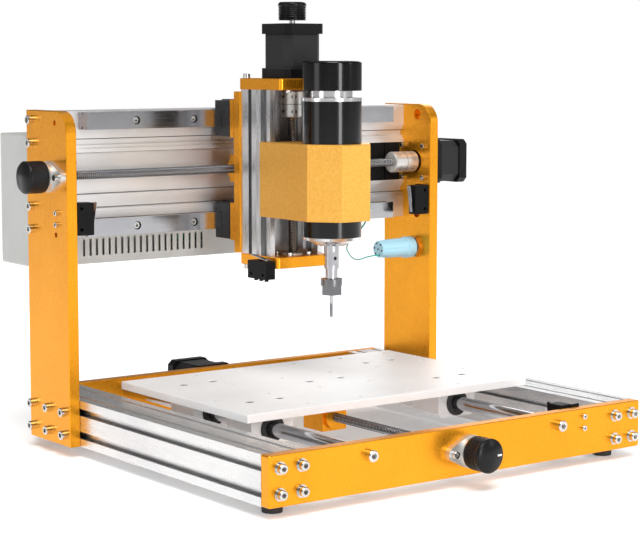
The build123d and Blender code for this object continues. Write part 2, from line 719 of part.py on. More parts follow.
def m3_screws():
    """Small screws of the motors, the knob bearings, the switch brackets and the control box."""
    screws = motor_screws(HALF_BASE, X_SCREW_Y, X_SCREW_Z, "+x")
    screws += motor_screws(0, BACK_PLATE_Y, Y_SCREW_Z, "+y")
    for offset in FLANGE_SCREW_OFFSETS:
        length = FLANGE_T + PLATE_T
        screws += socket_screw(-HALF_OUT - FLANGE_T, X_SCREW_Y + offset, X_SCREW_Z, "+x", 4, length)
        screws += socket_screw(offset, -FLANGE_T, Y_SCREW_Z, "+y", 4, length)
    for x, z in box_screw_places():
        screws += socket_screw(x, UPRIGHT_BACK + BOX_D, z, "-y", 3, 8)
    for side, way in ((-1, "+x"), (1, "-x")):
        for dz in SWITCH_HOLES:
            y = X_SWITCH_Y + SWITCH_FOOT / 2
            screws += socket_screw(side * HALF_OUT, y, X_SWITCH_Z + dz, way, 3, PLATE_T + 1)
    for dz in SWITCH_HOLES:
        x = Y_SWITCH_X + SWITCH_FOOT / 2
        screws += socket_screw(x, 0, Y_SWITCH_Z + dz, "+y", 3, PLATE_T + 1)
    return screws


# ---- control box -----------------------------------------------------------------------------
def box_screw_places():
    xs = (BOX_LEFT + BOX_SCREW_INSET, BOX_RIGHT - BOX_SCREW_INSET)
    zs = (BOX_BOTTOM + BOX_SCREW_INSET, BOX_TOP - BOX_SCREW_INSET)
    return [(x, z) for x in xs for z in zs]


def control_box():
    """Folded sheet-metal box, open at the back, with a row of vent slots below the beam."""
    y0 = UPRIGHT_BACK
    y1 = y0 + BOX_D - SHEET_T
    shell = box(BOX_LEFT, BOX_RIGHT, y0, y1, BOX_BOTTOM, BOX_TOP)
    shell = fillet(shell.edges().filter_by(Axis.Y), BOX_CORNER_R)
    inner_x = (BOX_LEFT + SHEET_T, BOX_RIGHT - SHEET_T)
    shell = shell - box(*inner_x, y0 + SHEET_T, y1, BOX_BOTTOM + SHEET_T, BOX_TOP - SHEET_T)
    slots = []
    for i in range(VENT_COUNT):
        x = VENT_FIRST_X + VENT_PITCH * i
        slots.append(box(x, x + VENT_W, y0, y0 + SHEET_T, VENT_Z, VENT_Z + VENT_H))
    shell = shell - slots
    half = BOX_POST_W / 2
    for x, z in box_screw_places():
        post = box(x - half, x + half, y1 - BOX_POST_L, y1, z - half, z + half)
        shell = shell + (post - round_bar(x, y1, z, "-y", M3_R + SEAT, BOX_POST_L))
    for up, width, height in SOCKETS:
        z = BOX_BOTTOM + up
        shell = shell - box(BOX_RIGHT - SHEET_T, BOX_RIGHT, SOCKET_Y, SOCKET_Y + width, z, z + height)
    return shell


def control_box_cover():
    y1 = UPRIGHT_BACK + BOX_D
    cover = box(BOX_LEFT, BOX_RIGHT, y1 - SHEET_T, y1, BOX_BOTTOM, BOX_TOP)
    cover = fillet(cover.edges().filter_by(Axis.Y), BOX_CORNER_R)
    for x, z in box_screw_places():
        cover = cover - round_bar(x, y1, z, "-y", M3_R + SEAT, SHEET_T)
    return cover


def control_board():
    """Circuit board on four posts, with three driver heat sinks and a power socket."""
    back = UPRIGHT_BACK + SHEET_T
    y0 = back + BOARD_STAND
    y1 = y0 + BOARD_T
    x1 = BOX_RIGHT - BOARD_INSET
    x0 = x1 - BOARD_W
    z0, z1 = BOX_BOTTOM + BOARD_INSET, BOX_TOP - BOARD_INSET - 6
    pieces = box(x0, x1, y0, y1, z0, z1)
    for x in (x0 + 5, x1 - 5):
        for z in (z0 + 5, z1 - 5):
            pieces = pieces + round_bar(x, back, z, "+y", 3, BOARD_STAND)
    for i in range(3):
        x = x0 + 14 + 24 * i
        pieces = pieces + box(x, x + 15, y1, y1 + 10.4, z0 + 30, z0 + 50)
    return pieces + box(x1 - 12, x1, y1, y1 + 11.4, z0 + 12, z0 + 26)


# ---- limit switches --------------------------------------------------------------------------
def switch_body(hand, bracket):
    """Microswitch on a bracket, facing local +x, long way up local z; hand is the bracket's side."""
    half = SWITCH_L / 2
    y0, y1 = sorted((0, -hand * SWITCH_T))
    middle = (y0 + y1) / 2
    pin_zs = (-half + SWITCH_PIN_INSET, half - SWITCH_PIN_INSET)
    pins = [Pos(SWITCH_PIN_INSET, 0, z) * Rot(90, 0, 0) * Cylinder(M3_R, 4 * SWITCH_T) for z in pin_zs]
    body = box(1, 1 + SWITCH_H, y0, y1, -half, half)
    body = fillet(body.edges().filter_by(Axis.Y), 1) - pins
    body = body + box(SWITCH_H + 1, SWITCH_H + 1.6, middle - 1.5, middle + 1.5, 0, 3)
    tab_start = 0.2 if bracket else -1.2
    for z in (-8, 0, 8):
        body = body + box(tab_start, 1, middle - 2, middle + 2, z - 0.3, z + 0.3)
    if not bracket:
        return body
    leg = sorted((0, hand * 1.5))
    foot = sorted((0, hand * SWITCH_FOOT))
    plate = box(0, 1, *foot, -half, half) + box(0, SWITCH_H - 2, *leg, -half, half) - pins
    for dz in SWITCH_HOLES:
        plate = plate - Pos(0, hand * SWITCH_FOOT / 2, dz) * Rot(0, 90, 0) * Cylinder(M3_R + SEAT, 6)
    return Compound(children=[*body.solids(), *plate.solids()])


def switch_lever(hand):
    """Thin tilted lever that stands off the switch and turns about its lower end."""
    px, pz = LEVER_PIVOT
    mid = -hand * SWITCH_T / 2
    leaf = Pos(0, 0, LEVER_L / 2) * Box(0.5, LEVER_W, LEVER_L)
    leaf = leaf + Rot(90, 0, 0) * Cylinder(LEVER_PIN_R, LEVER_W)
    return Pos(px, mid, pz) * Rot(0, LEVER_TILT, 0) * leaf


def switch_frame(origin, lever_way, long_way):
    return Plane(origin=origin, x_dir=lever_way, z_dir=long_way).location


def switch_places():
    """Location, hand and bracket of each limit switch."""
    return {
        "x_left": (switch_frame((-HALF_BASE, X_SWITCH_Y, X_SWITCH_Z), (1, 0, 0), (0, 0, 1)), 1, True),
        "x_right": (switch_frame((HALF_BASE, X_SWITCH_Y, X_SWITCH_Z), (-1, 0, 0), (0, 0, 1)), -1, True),
        "y": (switch_frame((Y_SWITCH_X, PLATE_T, Y_SWITCH_Z), (0, 1, 0), (0, 0, 1)), -1, True),
        "z": (switch_frame((Z_SWITCH_X, Z_SCREW_Y, Z_SWITCH_Z), (0, 0, 1), (0, 1, 0)), 1, False),
    }


def limit_switch(name):
    place, hand, bracket = switch_places()[name]
    return place * switch_body(hand, bracket)


def limit_lever(name):
    place, hand, _ = switch_places()[name]
    return place * switch_lever(hand)


# ---- drive screws, couplings and knobs -------------------------------------------------------
def x_drive():
    knob_x = -HALF_OUT - FLANGE_DEPTH - GAP
    start = knob_x + GAP - X_KNOB_L + KNOB_GRIP
    end = HALF_OUT + MOTOR_SHAFT_OUT
    screw = round_bar(start, X_SCREW_Y, X_SCREW_Z, "+x", SCREW_R, X_COUPLING_MID - start)
    shaft = round_bar(X_COUPLING_MID, X_SCREW_Y, X_SCREW_Z, "+x", SHAFT_R, end - X_COUPLING_MID)
    knob = fluted_knob(knob_x, X_SCREW_Y, X_SCREW_Z, "-x", KNOB_R, X_KNOB_L - GAP, SCREW_R + FIT, 36)
    return screw, [coupling(X_COUPLING_MID, X_SCREW_Y, X_SCREW_Z, "+x", COUPLING_L), shaft], knob


def y_drive():
    knob_y = -FLANGE_DEPTH - GAP
    start = knob_y + GAP - Y_KNOB_L + KNOB_GRIP
    end = BASE_BACK + MOTOR_SHAFT_OUT
    screw = round_bar(0, start, Y_SCREW_Z, "+y", SCREW_R, Y_COUPLING_MID - start)
    shaft = round_bar(0, Y_COUPLING_MID, Y_SCREW_Z, "+y", SHAFT_R, end - Y_COUPLING_MID)
    knob = fluted_knob(0, knob_y, Y_SCREW_Z, "-y", KNOB_R, Y_KNOB_L - GAP, SCREW_R + FIT, 36)
    return screw, [coupling(0, Y_COUPLING_MID, Y_SCREW_Z, "+y", COUPLING_L), shaft], knob


def z_drive():
    start = BOTTOM_PLATE_Z + 2
    top = Z_MOTOR_TOP + Z_KNOB_GAP
    end = top + Z_KNOB_L - KNOB_FLOOR
    screw = round_bar(0, Z_SCREW_Y, start, "+z", SCREW_R, Z_COUPLING_MID - start)
    shaft = round_bar(0, Z_SCREW_Y, Z_COUPLING_MID, "+z", SHAFT_R, end - Z_COUPLING_MID)
    knob = fluted_knob(0, Z_SCREW_Y, top, "+z", Z_KNOB_R, Z_KNOB_L, SHAFT_R + FIT, 32)
    return screw, [coupling(0, Z_SCREW_Y, Z_COUPLING_MID, "+z", Z_COUPLING_L), shaft], knob


# ---- x carriage with the z axis frame --------------------------------------------------------
def x_carriage_plate():
    half = CARRIAGE_W / 2
    plate = box(-half, half, CARRIAGE_FRONT, CARRIAGE_BACK, CARRIAGE_BOTTOM, CARRIAGE_TOP)
    plate = break_edges(plate, Axis.Y)
    for z in RAIL_ZS:
        plate = plate + box(-half, half, CARRIAGE_BACK, BLOCK_FRONT, z - BLOCK_W / 2, z + BLOCK_W / 2)
    return plate


def x_rail_blocks():
    """Recirculating-ball block on each rail: steel middle with two end caps."""
    blocks = []
    half = BLOCK_L / 2
    inset = 0.8
    for z in RAIL_ZS:
        z0, z1 = z - BLOCK_W / 2, z + BLOCK_W / 2
        body = rect(BLOCK_FRONT, BLOCK_FRONT + BLOCK_BODY, z0, z1)
        end = rect(BLOCK_FRONT + inset, BLOCK_FRONT + BLOCK_BODY - inset, z0 + inset, z1 - inset)
        hollow = rail_section(RAIL_FRONT, z, SLIDE)
        blocks.append(prism_x(body - hollow, -half + BLOCK_CAP, half - BLOCK_CAP))
        for x0 in (-half, half - BLOCK_CAP):
            blocks.append(prism_x(end - hollow, x0, x0 + BLOCK_CAP))
    return blocks


def x_nut_housing():
    """Nut housing behind the carriage plate and the flanged brass nut inside it."""
    half_x = 14
    z0, z1 = X_SCREW_Z - 12.5, X_SCREW_Z + 12.5
    housing = box(-half_x, half_x, CARRIAGE_BACK, X_SCREW_Y + 12, z0, z1)
    housing = housing - round_bar(-half_x, X_SCREW_Y, X_SCREW_Z, "+x", NUT_R + SEAT, 2 * half_x)
    flange_x = -half_x - NUT_FLANGE_T
    nut = tube(flange_x, X_SCREW_Y, X_SCREW_Z, "+x", NUT_FLANGE_R, SCREW_R + FIT, NUT_FLANGE_T)
    nut = nut + tube(-half_x, X_SCREW_Y, X_SCREW_Z, "+x", NUT_R, SCREW_R + FIT, NUT_L)
    return [housing, nut]


def z_channel():
    """Channel that carries the z guides; grooves along the outside of each arm."""
    half = CHANNEL_W / 2
    back = CARRIAGE_FRONT
    section = rect(-half, half, CHANNEL_FRONT, back)
    inner = half - CHANNEL_WALL
    section = section - rect(-inner, inner, CHANNEL_FRONT, back - CHANNEL_BACK)
    for side in (-1, 1):
        near, far = sorted((side * half, side * (half - CHANNEL_GROOVE_D)))
        for groove in CHANNEL_GROOVES:
            y = CHANNEL_FRONT + groove
            section = section - rect(near, far, y - CHANNEL_GROOVE_W / 2, y + CHANNEL_GROOVE_W / 2)
    return prism_z(section, CARRIAGE_BOTTOM, CHANNEL_TOP)


def z_plate(front, z0, half):
    plate = box(-half, half, front, CARRIAGE_FRONT, z0, z0 + END_PLATE_T)
    corners = plate.edges().filter_by(Axis.Z).group_by(Axis.Y)[0]
    return break_edges(fillet(corners, 3), Axis.Z)


def z_top_plate():
    plate = z_plate(TOP_PLATE_FRONT, CHANNEL_TOP, CARRIAGE_W / 2 - 0.5)
    plate = plate - motor_face_cuts(0, Z_SCREW_Y, CHANNEL_TOP, "+z")
    for x, y in z_frame_screw_places():
        plate = plate - round_bar(x, y, CHANNEL_TOP, "+z", M4_R + SEAT, END_PLATE_T)
    return plate


def z_bottom_plate():
    plate = z_plate(BOTTOM_PLATE_FRONT, BOTTOM_PLATE_Z, CARRIAGE_W / 2 - 1)
    plate = plate - round_bar(0, Z_SCREW_Y, BOTTOM_PLATE_Z, "+z", BEARING_R + SEAT, END_PLATE_T)
    for x, y in z_frame_screw_places():
        plate = plate - round_bar(x, y, BOTTOM_PLATE_Z, "+z", M4_R + SEAT, END_PLATE_T)
    for a, b in square_pattern(BOTTOM_PLATE_PITCH):
        plate = plate - round_bar(a, Z_SCREW_Y + b, BOTTOM_PLATE_Z, "+z", M3_R + SEAT, END_PLATE_T)
    return plate


def z_lower_bearing():
    """Flanged ball bearing that holds the z screw in the bottom plate."""
    lip = tube(0, Z_SCREW_Y, CARRIAGE_BOTTOM, "+z", BEARING_LIP_R, SCREW_R + FIT, BEARING_LIP_T)
    return lip + tube(0, Z_SCREW_Y, BOTTOM_PLATE_Z + 2, "+z", BEARING_R, SCREW_R + FIT, END_PLATE_T - 2)


def z_frame_screw_places():
    x = CHANNEL_W / 2 - CHANNEL_WALL / 2 - 0.3
    y = CARRIAGE_FRONT - 5
    return [(-x, y), (x, y)]


def z_frame_screws():
    screws = []
    for x, y in z_frame_screw_places():
        screws += socket_screw(x, y, TOP_PLATE_TOP, "-z", 4, END_PLATE_T)
        screws += socket_screw(x, y, BOTTOM_PLATE_Z, "+z", 4, END_PLATE_T)
    for a, b in square_pattern(BOTTOM_PLATE_PITCH):
        screws += socket_screw(a, Z_SCREW_Y + b, CARRIAGE_BOTTOM, "-z", 3, END_PLATE_T - 1)
    return screws + motor_screws(0, Z_SCREW_Y, CHANNEL_TOP, "+z")


def z_rails():
    def rail():
        outer = CHANNEL_W / 2 - CHANNEL_WALL
        y0 = Z_RAIL_Y - Z_RAIL_W / 2
        z0, z1 = CARRIAGE_BOTTOM + Z_RAIL_END_GAP, CHANNEL_TOP - Z_RAIL_END_GAP
        bar = box(outer - Z_RAIL_H, outer, y0, y0 + Z_RAIL_W, z0, z1)
        return chamfer(bar.edges().filter_by(Axis.Z).group_by(Axis.X)[0], 0.6)
    return both_sides(rail)


# ---- spindle and its clamp -------------------------------------------------------------------
def spindle_clamp():
    """Clamp block: flat front, two wide chamfers, a round bore and a recess around the channel."""
    front = SPINDLE_Y - SPINDLE_R - CLAMP_FRONT_WALL
    back = SPINDLE_Y + CLAMP_BACK_REACH
    recess = CHANNEL_W / 2 + 0.7
    right = [
        (CLAMP_FRONT_HALF, front),
        (CLAMP_HALF_W, SPINDLE_Y - CLAMP_SHOULDER),
        (CLAMP_HALF_W, back),
        (recess, back),
        (recess, CLAMP_FLOOR),
    ]
    left = [(-x, y) for x, y in reversed(right)]
    body = break_edges(prism_z(outline(right + left), CLAMP_BOTTOM, CLAMP_TOP), Axis.Z)
    body = body - round_bar(0, SPINDLE_Y, CLAMP_BOTTOM, "+z", SPINDLE_R + FIT, CLAMP_H)
    body = body - round_bar(0, Z_SCREW_Y, CLAMP_BOTTOM, "+z", COUPLING_R + AIR, CLAMP_H)
    slit = (CLAMP_SLIT_X, CLAMP_SLIT_X + CLAMP_SLIT_W)
    body = body - box(*slit, SPINDLE_Y + 10, CLAMP_FLOOR, CLAMP_BOTTOM, CLAMP_TOP)
    for z in clamp_screw_zs():
        body = body - round_bar(CLAMP_HALF_W, CLAMP_SCREW_Y, z, "-x", M5_R + SEAT, 30)
        body = body - round_bar(CLAMP_HALF_W, CLAMP_SCREW_Y, z, "-x", 4.75, CLAMP_HEAD_DEPTH)
    return body


def clamp_screw_zs():
    return (CLAMP_BOTTOM + CLAMP_SCREW_INSET, CLAMP_TOP - CLAMP_SCREW_INSET)


def clamp_screws():
    screws = []
    for z in clamp_screw_zs():
        screws += socket_screw(CLAMP_HALF_W - CLAMP_HEAD_DEPTH, CLAMP_SCREW_Y, z, "-x", 5, 24)
    return screws


def z_slider():
    """Slider behind the clamp: guide wings with a groove for each rail, and the screw's nut."""
    z0 = CLAMP_BOTTOM + SLIDER_UP
    z1 = z0 + SLIDER_H
    y0, y1 = Z_RAIL_Y - SLIDER_D / 2, Z_RAIL_Y + SLIDER_D / 2
    channel_x = CHANNEL_W / 2 - CHANNEL_WALL
    wing_x = channel_x - CLAMP_CLEAR
    body = box(-SLIDER_W / 2, SLIDER_W / 2, CLAMP_FLOOR, y1, z0, z1) + box(-wing_x, wing_x, y0, y1, z0, z1)
    half = Z_RAIL_W / 2 + SLIDE
    for side in (-1, 1):
        near, far = sorted((side * (channel_x - Z_RAIL_H - SLIDE), side * wing_x))
        body = body - box(near, far, Z_RAIL_Y - half, Z_RAIL_Y + half, z0, z1)
    body = body - round_bar(0, Z_SCREW_Y, z0, "+z", NUT_R + SEAT, SLIDER_H)
    return [body, tube(0, Z_SCREW_Y, z0, "+z", NUT_R, SCREW_R + FIT, NUT_L)]


def spindle_housing():
    """Body tube and, seated inside it, the fixed winding ring of the motor."""
    inner = SPINDLE_R - SPINDLE_WALL
    shell = tube(0, SPINDLE_Y, SPINDLE_BOTTOM, "+z", SPINDLE_R, inner, SPINDLE_L)
    stator = tube(0, SPINDLE_Y, STATOR_Z, "+z", inner - SEAT, STATOR_INNER_R, STATOR_L)
    return [shell, stator]


def spindle_ends():
    """Bright collar with its neck above the body, and the domed nose below it."""
    bore = SPINDLE_SHAFT_R + FIT
    collar = tube(0, SPINDLE_Y, SPINDLE_TOP, "+z", SPINDLE_R, bore, COLLAR_H)
    neck = tube(0, SPINDLE_Y, SPINDLE_TOP + COLLAR_H, "+z", SPINDLE_R - NECK_IN, bore, NECK_H)
    z0 = SPINDLE_BOTTOM
    side = [
        (0, z0),
        (SPINDLE_R, z0),
        (SPINDLE_R - 1, z0 - 2.5),
        (SPINDLE_R - 9, z0 - 5.2),
        (SPINDLE_R - 13.5, z0 - NOSE_H),
        (0, z0 - NOSE_H),
    ]
    section = Plane(origin=(0, SPINDLE_Y, 0), x_dir=(1, 0, 0), z_dir=(0, -1, 0)) * outline(side)
    nose = revolve(section, Axis((0, SPINDLE_Y, 0), (0, 0, 1)))
    nose = nose + round_bar(0, SPINDLE_Y, z0, "+z", SPINDLE_R - SPINDLE_WALL - SEAT, NOSE_PLUG)
    nose = nose - round_bar(0, SPINDLE_Y, z0 - NOSE_H, "+z", bore, NOSE_H + NOSE_PLUG)
    return [collar + neck, nose]


def spindle_cap():
    """Fan cap: a cup over the neck, with a ring of slots in its floor for the cooling air."""
    floor = 3
    cup = Cylinder(SPINDLE_R, CAP_H, align=FROM_BASE)
    cup = fillet(cup.edges().group_by(Axis.Z)[-1], 2.5)
    hollow = Cylinder(SPINDLE_R - CAP_WALL, CAP_H - floor - CAP_WALL, align=FROM_BASE)
    cup = cup - Pos(0, 0, floor) * hollow
    cup = cup - Cylinder(SPINDLE_SHAFT_R + GAP, floor, align=FROM_BASE)
    vent = Pos(SPINDLE_R - 10, 0, 0) * extrude(SlotOverall(9, 3.5), amount=floor)
    return Pos(0, SPINDLE_Y, CAP_Z) * (cup - [Rot(0, 0, 30 * i) * vent for i in range(12)])


def spindle_shaft():
    """Shaft with the motor's rotor and the cooling fan; a flat and a cross hole near the collet."""
    def bar(z0, z1, radius):
        return round_bar(0, SPINDLE_Y, z0, "+z", radius, z1 - z0)

    fan_z = CAP_Z + 6
    shaft = bar(SHAFT_STEP_Z, CAP_Z + 14, SPINDLE_SHAFT_R) + bar(COLLET_EDGE_Z, SHAFT_STEP_Z, COLLET_SHAFT_R)
    shaft = shaft + bar(STATOR_Z, STATOR_Z + STATOR_L, STATOR_INNER_R - GAP)
    blade = Pos(SPINDLE_R / 2, 0, 4) * Rot(35, 0, 0) * Box(16, 1, 8)
    for i in range(FAN_BLADES):
        shaft = shaft + Pos(0, SPINDLE_Y, fan_z) * Rot(0, 0, 360 * i / FAN_BLADES) * blade
    shaft = shaft + bar(fan_z, fan_z + 8, 8)
    shaft = shaft - Pos(0, SPINDLE_Y, SHAFT_STEP_Z + 9) * Rot(90, 0, 0) * Cylinder(1.6, 30)
    flat_y = SPINDLE_Y - SPINDLE_SHAFT_R + 1
    shaft = shaft - box(-8, 8, flat_y - 5, flat_y, SHAFT_STEP_Z + 3, SHAFT_STEP_Z + 15)
    return shaft - bar(COLLET_EDGE_Z, COLLET_EDGE_Z + 14, TOOL_R + SEAT)


def collet_nut():
    """Collet nut: round upper collar, hexagon below."""
    nut = round_bar(0, SPINDLE_Y, COLLET_EDGE_Z, "+z", COLLET_R, COLLET_COLLAR)
    hexagon = Pos(0, SPINDLE_Y) * RegularPolygon(COLLET_R, 6)
    nut = nut + prism_z(hexagon, COLLET_BOTTOM, COLLET_EDGE_Z)
    nut = nut - round_bar(0, SPINDLE_Y, COLLET_EDGE_Z, "+z", COLLET_SHAFT_R + SEAT, COLLET_COLLAR)
    return nut - round_bar(0, SPINDLE_Y, COLLET_BOTTOM, "+z", TOOL_R + SEAT, COLLET_L)


def end_mill():
    """Straight cutter: shank up in the collet, two flutes ground near the tip."""
    tool = round_bar(0, SPINDLE_Y, TOOL_TIP, "+z", TOOL_R, COLLET_TOP + 4 - TOOL_TIP)
    flute = box(0.35, 2, -0.1, 2, 0, FLUTE_L)
    for turn in (0, 180):
        tool = tool - Pos(0, SPINDLE_Y, TOOL_TIP) * Rot(0, 0, turn) * flute
    return tool


# ---- bed -------------------------------------------------------------------------------------
def bed_hole_places():
    xs = [BED_HOLE_DX * (i - (BED_HOLE_COLUMNS - 1) / 2) for i in range(BED_HOLE_COLUMNS)]
    ys = [BED_MID + BED_HOLE_DY * (i - (BED_HOLE_ROWS - 1) / 2) for i in range(BED_HOLE_ROWS)]
    return [(x, y) for x in xs for y in ys]


def block_screw_y(y):
    """Screw line of the block at y, towards the bed's nearer end."""
    return y - BED_SCREW_DY if y < BED_MID else y + BED_SCREW_DY


def bed_screw_places():
    """Two countersunk screws into each bearing block, and two into the nut housing."""
    places = []
    for side in (-1, 1):
        for dx in (-BED_SCREW_DX, BED_SCREW_DX):
            places += [(side * ROD_X + dx, block_screw_y(y)) for y in BED_BLOCK_YS]
    return places + [(-NUT_SCREW_DX, BED_MID), (NUT_SCREW_DX, BED_MID)]


def bed_plate():
    half = BED_W / 2
    plate = box(-half, half, BED_FRONT, BED_FRONT + BED_D, BED_Z, BED_TOP)
    plate = chamfer(plate.edges().group_by(Axis.Z)[-1], 0.5)
    cuts = [round_bar(x, y, BED_Z, "+z", BED_HOLE_R, BED_T) for x, y in bed_hole_places()]
    for x, y in bed_screw_places():
        cuts.append(round_bar(x, y, BED_Z, "+z", M5_R + SEAT, BED_T))
        cuts.append(round_bar(x, y, BED_TOP, "-z", BED_HEAD_R, BED_HEAD_DEPTH))
    return plate - cuts


def bed_bearing_blocks():
    """Four blocks that run on the rods, each with a linear bearing held by its end rings."""
    pieces = []
    half = BED_BLOCK_W / 2
    for side in (-1, 1):
        for y in BED_BLOCK_YS:
            x = side * ROD_X
            y0, y1 = y - BED_BLOCK_L / 2, y + BED_BLOCK_L / 2
            block = box(x - half, x + half, y0, y1, BED_Z - BED_BLOCK_H, BED_Z)
            block = chamfer(block.edges().filter_by(Axis.Y).group_by(Axis.Z)[0], BED_BLOCK_CHAMFER)
            block = block - round_bar(x, y0, ROD_Z, "+y", BED_BEARING_R + SEAT, BED_BLOCK_L)
            for dx in (-BED_SCREW_DX, BED_SCREW_DX):
                block = block - round_bar(x + dx, block_screw_y(y), BED_Z, "-z", M5_R + SEAT, 12)
            bearing_l = BED_BLOCK_L - 2 * BED_BEARING_INSET
            bearing = tube(x, y0 + BED_BEARING_INSET, ROD_Z, "+y", BED_BEARING_R, ROD_R + FIT, bearing_l)
            pieces += [block, bearing]
    return pieces


def y_nut_housing():
    """Bracket under the bed with the flanged brass nut of the y screw."""
    half_y = 14
    foot_t = 6
    foot = box(-24, 24, BED_MID - 16, BED_MID + 16, BED_Z - foot_t, BED_Z)
    for dx in (-NUT_SCREW_DX, NUT_SCREW_DX):
        foot = foot - round_bar(dx, BED_MID, BED_Z, "-z", M5_R + SEAT, foot_t)
    block = box(-13, 13, BED_MID - half_y, BED_MID + half_y, Y_SCREW_Z - 12, BED_Z - foot_t)
    housing = foot + block - round_bar(0, BED_MID - half_y, Y_SCREW_Z, "+y", NUT_R + SEAT, 2 * half_y)
    flange_y = BED_MID - half_y - NUT_FLANGE_T
    nut = tube(0, flange_y, Y_SCREW_Z, "+y", NUT_FLANGE_R, SCREW_R + FIT, NUT_FLANGE_T)
    nut = nut + tube(0, BED_MID - half_y, Y_SCREW_Z, "+y", NUT_R, SCREW_R + FIT, NUT_L)
    return [housing, nut]


def bed_screws():
    return [flush_screw(x, y, BED_TOP - 0.4, "-z", 5, 11) for x, y in bed_screw_places()]


# ---- cable -----------------------------------------------------------------------------------
def cable_connector():
    """Round panel connector on the right upright: hexagon nut and the cable's socket body."""
    place = facing(HALF_BASE, CONNECTOR_Y, CONNECTOR_Z, "-x")
    ring = RegularPolygon(CONNECTOR_NUT_R, 6) - Circle(CONNECTOR_THREAD_R + SEAT)
    nut = extrude(ring, amount=CONNECTOR_NUT_T)
    body = Pos(0, 0, CONNECTOR_NUT_T) * Cylinder(CONNECTOR_R, CONNECTOR_STRAIGHT, align=FROM_BASE)
    taper_z = CONNECTOR_NUT_T + CONNECTOR_STRAIGHT
    taper = Pos(0, 0, taper_z) * Cone(CONNECTOR_R, CONNECTOR_END_R, CONNECTOR_L - taper_z, align=FROM_BASE)
    thread_l = 8
    thread = Cylinder(CONNECTOR_THREAD_R, thread_l + CONNECTOR_NUT_T, align=FROM_BASE)
    return [place * nut, place * (body + taper + Pos(0, 0, -thread_l) * thread)]


def signal_wire():
    """Thin free wire from the connector to the side of the z channel, as runs and tangent arcs."""
    points = [Vector(*p) for p in WIRE_ROUTE]
    radii = []
    for a, b, c in zip(points, points[1:], points[2:]):
        turn = math.radians((b - a).get_angle(c - b))
        run = min((b - a).length, (c - b).length)
        radii.append(0.45 * run / math.tan(turn / 2))
    path = FilletPolyline(*points, radius=radii)
    start = Plane(origin=points[0], z_dir=points[1] - points[0])
    return sweep(start * Circle(WIRE_R), path=path)


# ---- writing ---------------------------------------------------------------------------------
def all_nodes():
    x_screw, x_coupling, x_knob = x_drive()
    y_screw, y_coupling, y_knob = y_drive()
    z_screw, z_coupling, z_knob = z_drive()
    right_profile = side_profile()
    return {
        "front_plate": front_plate(),
        "back_plate": back_plate(),
        "left_side_profile": mirror(right_profile, about=Plane.YZ),
        "right_side_profile": right_profile,
        "rubber_feet": rubber_feet(),
        "y_rods": y_rods(),
        "base_screws": base_screws(),
        "left_upright": left_upright(),
        "right_upright": right_upright(),
        "gantry_beam": gantry_beam(),
        "beam_end_cover": beam_end_cover(),
        "x_rails": x_rails(),
        "frame_screws": m5_screws(),
        "small_screws": m3_screws(),
        "x_motor": motor(HALF_OUT, X_SCREW_Y, X_SCREW_Z, "+x", X_MOTOR_L, MOTOR_SHAFT_DEPTH),
        "y_motor": motor(0, BASE_BACK, Y_SCREW_Z, "+y", Y_MOTOR_L, MOTOR_SHAFT_DEPTH),
        "knob_bearings": [
            flange_bearing(-HALF_OUT, X_SCREW_Y, X_SCREW_Z, "-x", turn=90),
            flange_bearing(0, 0, Y_SCREW_Z, "-y"),
        ],
        "control_box": control_box(),
        "control_box_cover": control_box_cover(),
        "control_board": control_board(),
        "limit_switches": [limit_switch("x_left"), limit_switch("x_right"), limit_switch("y")],
        "z_limit_switch": limit_switch("z"),
        "x_left_switch_lever": limit_lever("x_left"),
        "x_right_switch_lever": limit_lever("x_right"),
        "y_switch_lever": limit_lever("y"),
        "z_switch_lever": limit_lever("z"),
        "x_lead_screw": x_screw,
        "x_coupling": x_coupling,
        "x_knob": x_knob,
        "y_lead_screw": y_screw,
        "y_coupling": y_coupling,
        "y_knob": y_knob,
        "z_lead_screw": z_screw,
        "z_coupling": z_coupling,
        "z_knob": z_knob,
        "x_carriage_plate": x_carriage_plate(),
        "x_rail_blocks": x_rail_blocks(),
        "x_nut_housing": x_nut_housing(),
        "z_channel": z_channel(),
        "z_top_plate": z_top_plate(),
        "z_bottom_plate": z_bottom_plate(),
        "z_lower_bearing": z_lower_bearing(),
        "z_rails": z_rails(),
        "z_motor": motor(0, Z_SCREW_Y, TOP_PLATE_TOP, "+z", Z_MOTOR_L, Z_MOTOR_L),
        "z_frame_screws": z_frame_screws(),
        "spindle_clamp": spindle_clamp(),
        "z_slider": z_slider(),
        "clamp_screws": clamp_screws(),
        "spindle_housing": spindle_housing(),
        "spindle_ends": spindle_ends(),
        "spindle_cap": spindle_cap(),
        "spindle_shaft": spindle_shaft(),
        "collet_nut": collet_nut(),
        "end_mill": end_mill(),
        "bed_plate": bed_plate(),
        "bed_bearing_blocks": bed_bearing_blocks(),
        "y_nut_housing": y_nut_housing(),
        "bed_screws": bed_screws(),
        "cable_connector": cable_connector(),
        "signal_wire": signal_wire(),
    }


def write_nodes(nodes):
    os.makedirs("parts", exist_ok=True)
    for name, made in nodes.items():
        shapes = made if isinstance(made, list) else [made]
        solids = [Pos(MIDDLE_X, FRONT_Y, 0) * solid for shape in shapes for solid in shape.solids()]
        piece = solids[0] if len(solids) == 1 else Compound(children=solids)
        piece.label = name
        export_step(piece, f"parts/{name}.step")


write_nodes(all_nodes())
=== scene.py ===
import bpy
import math
from mathutils import Matrix, Vector


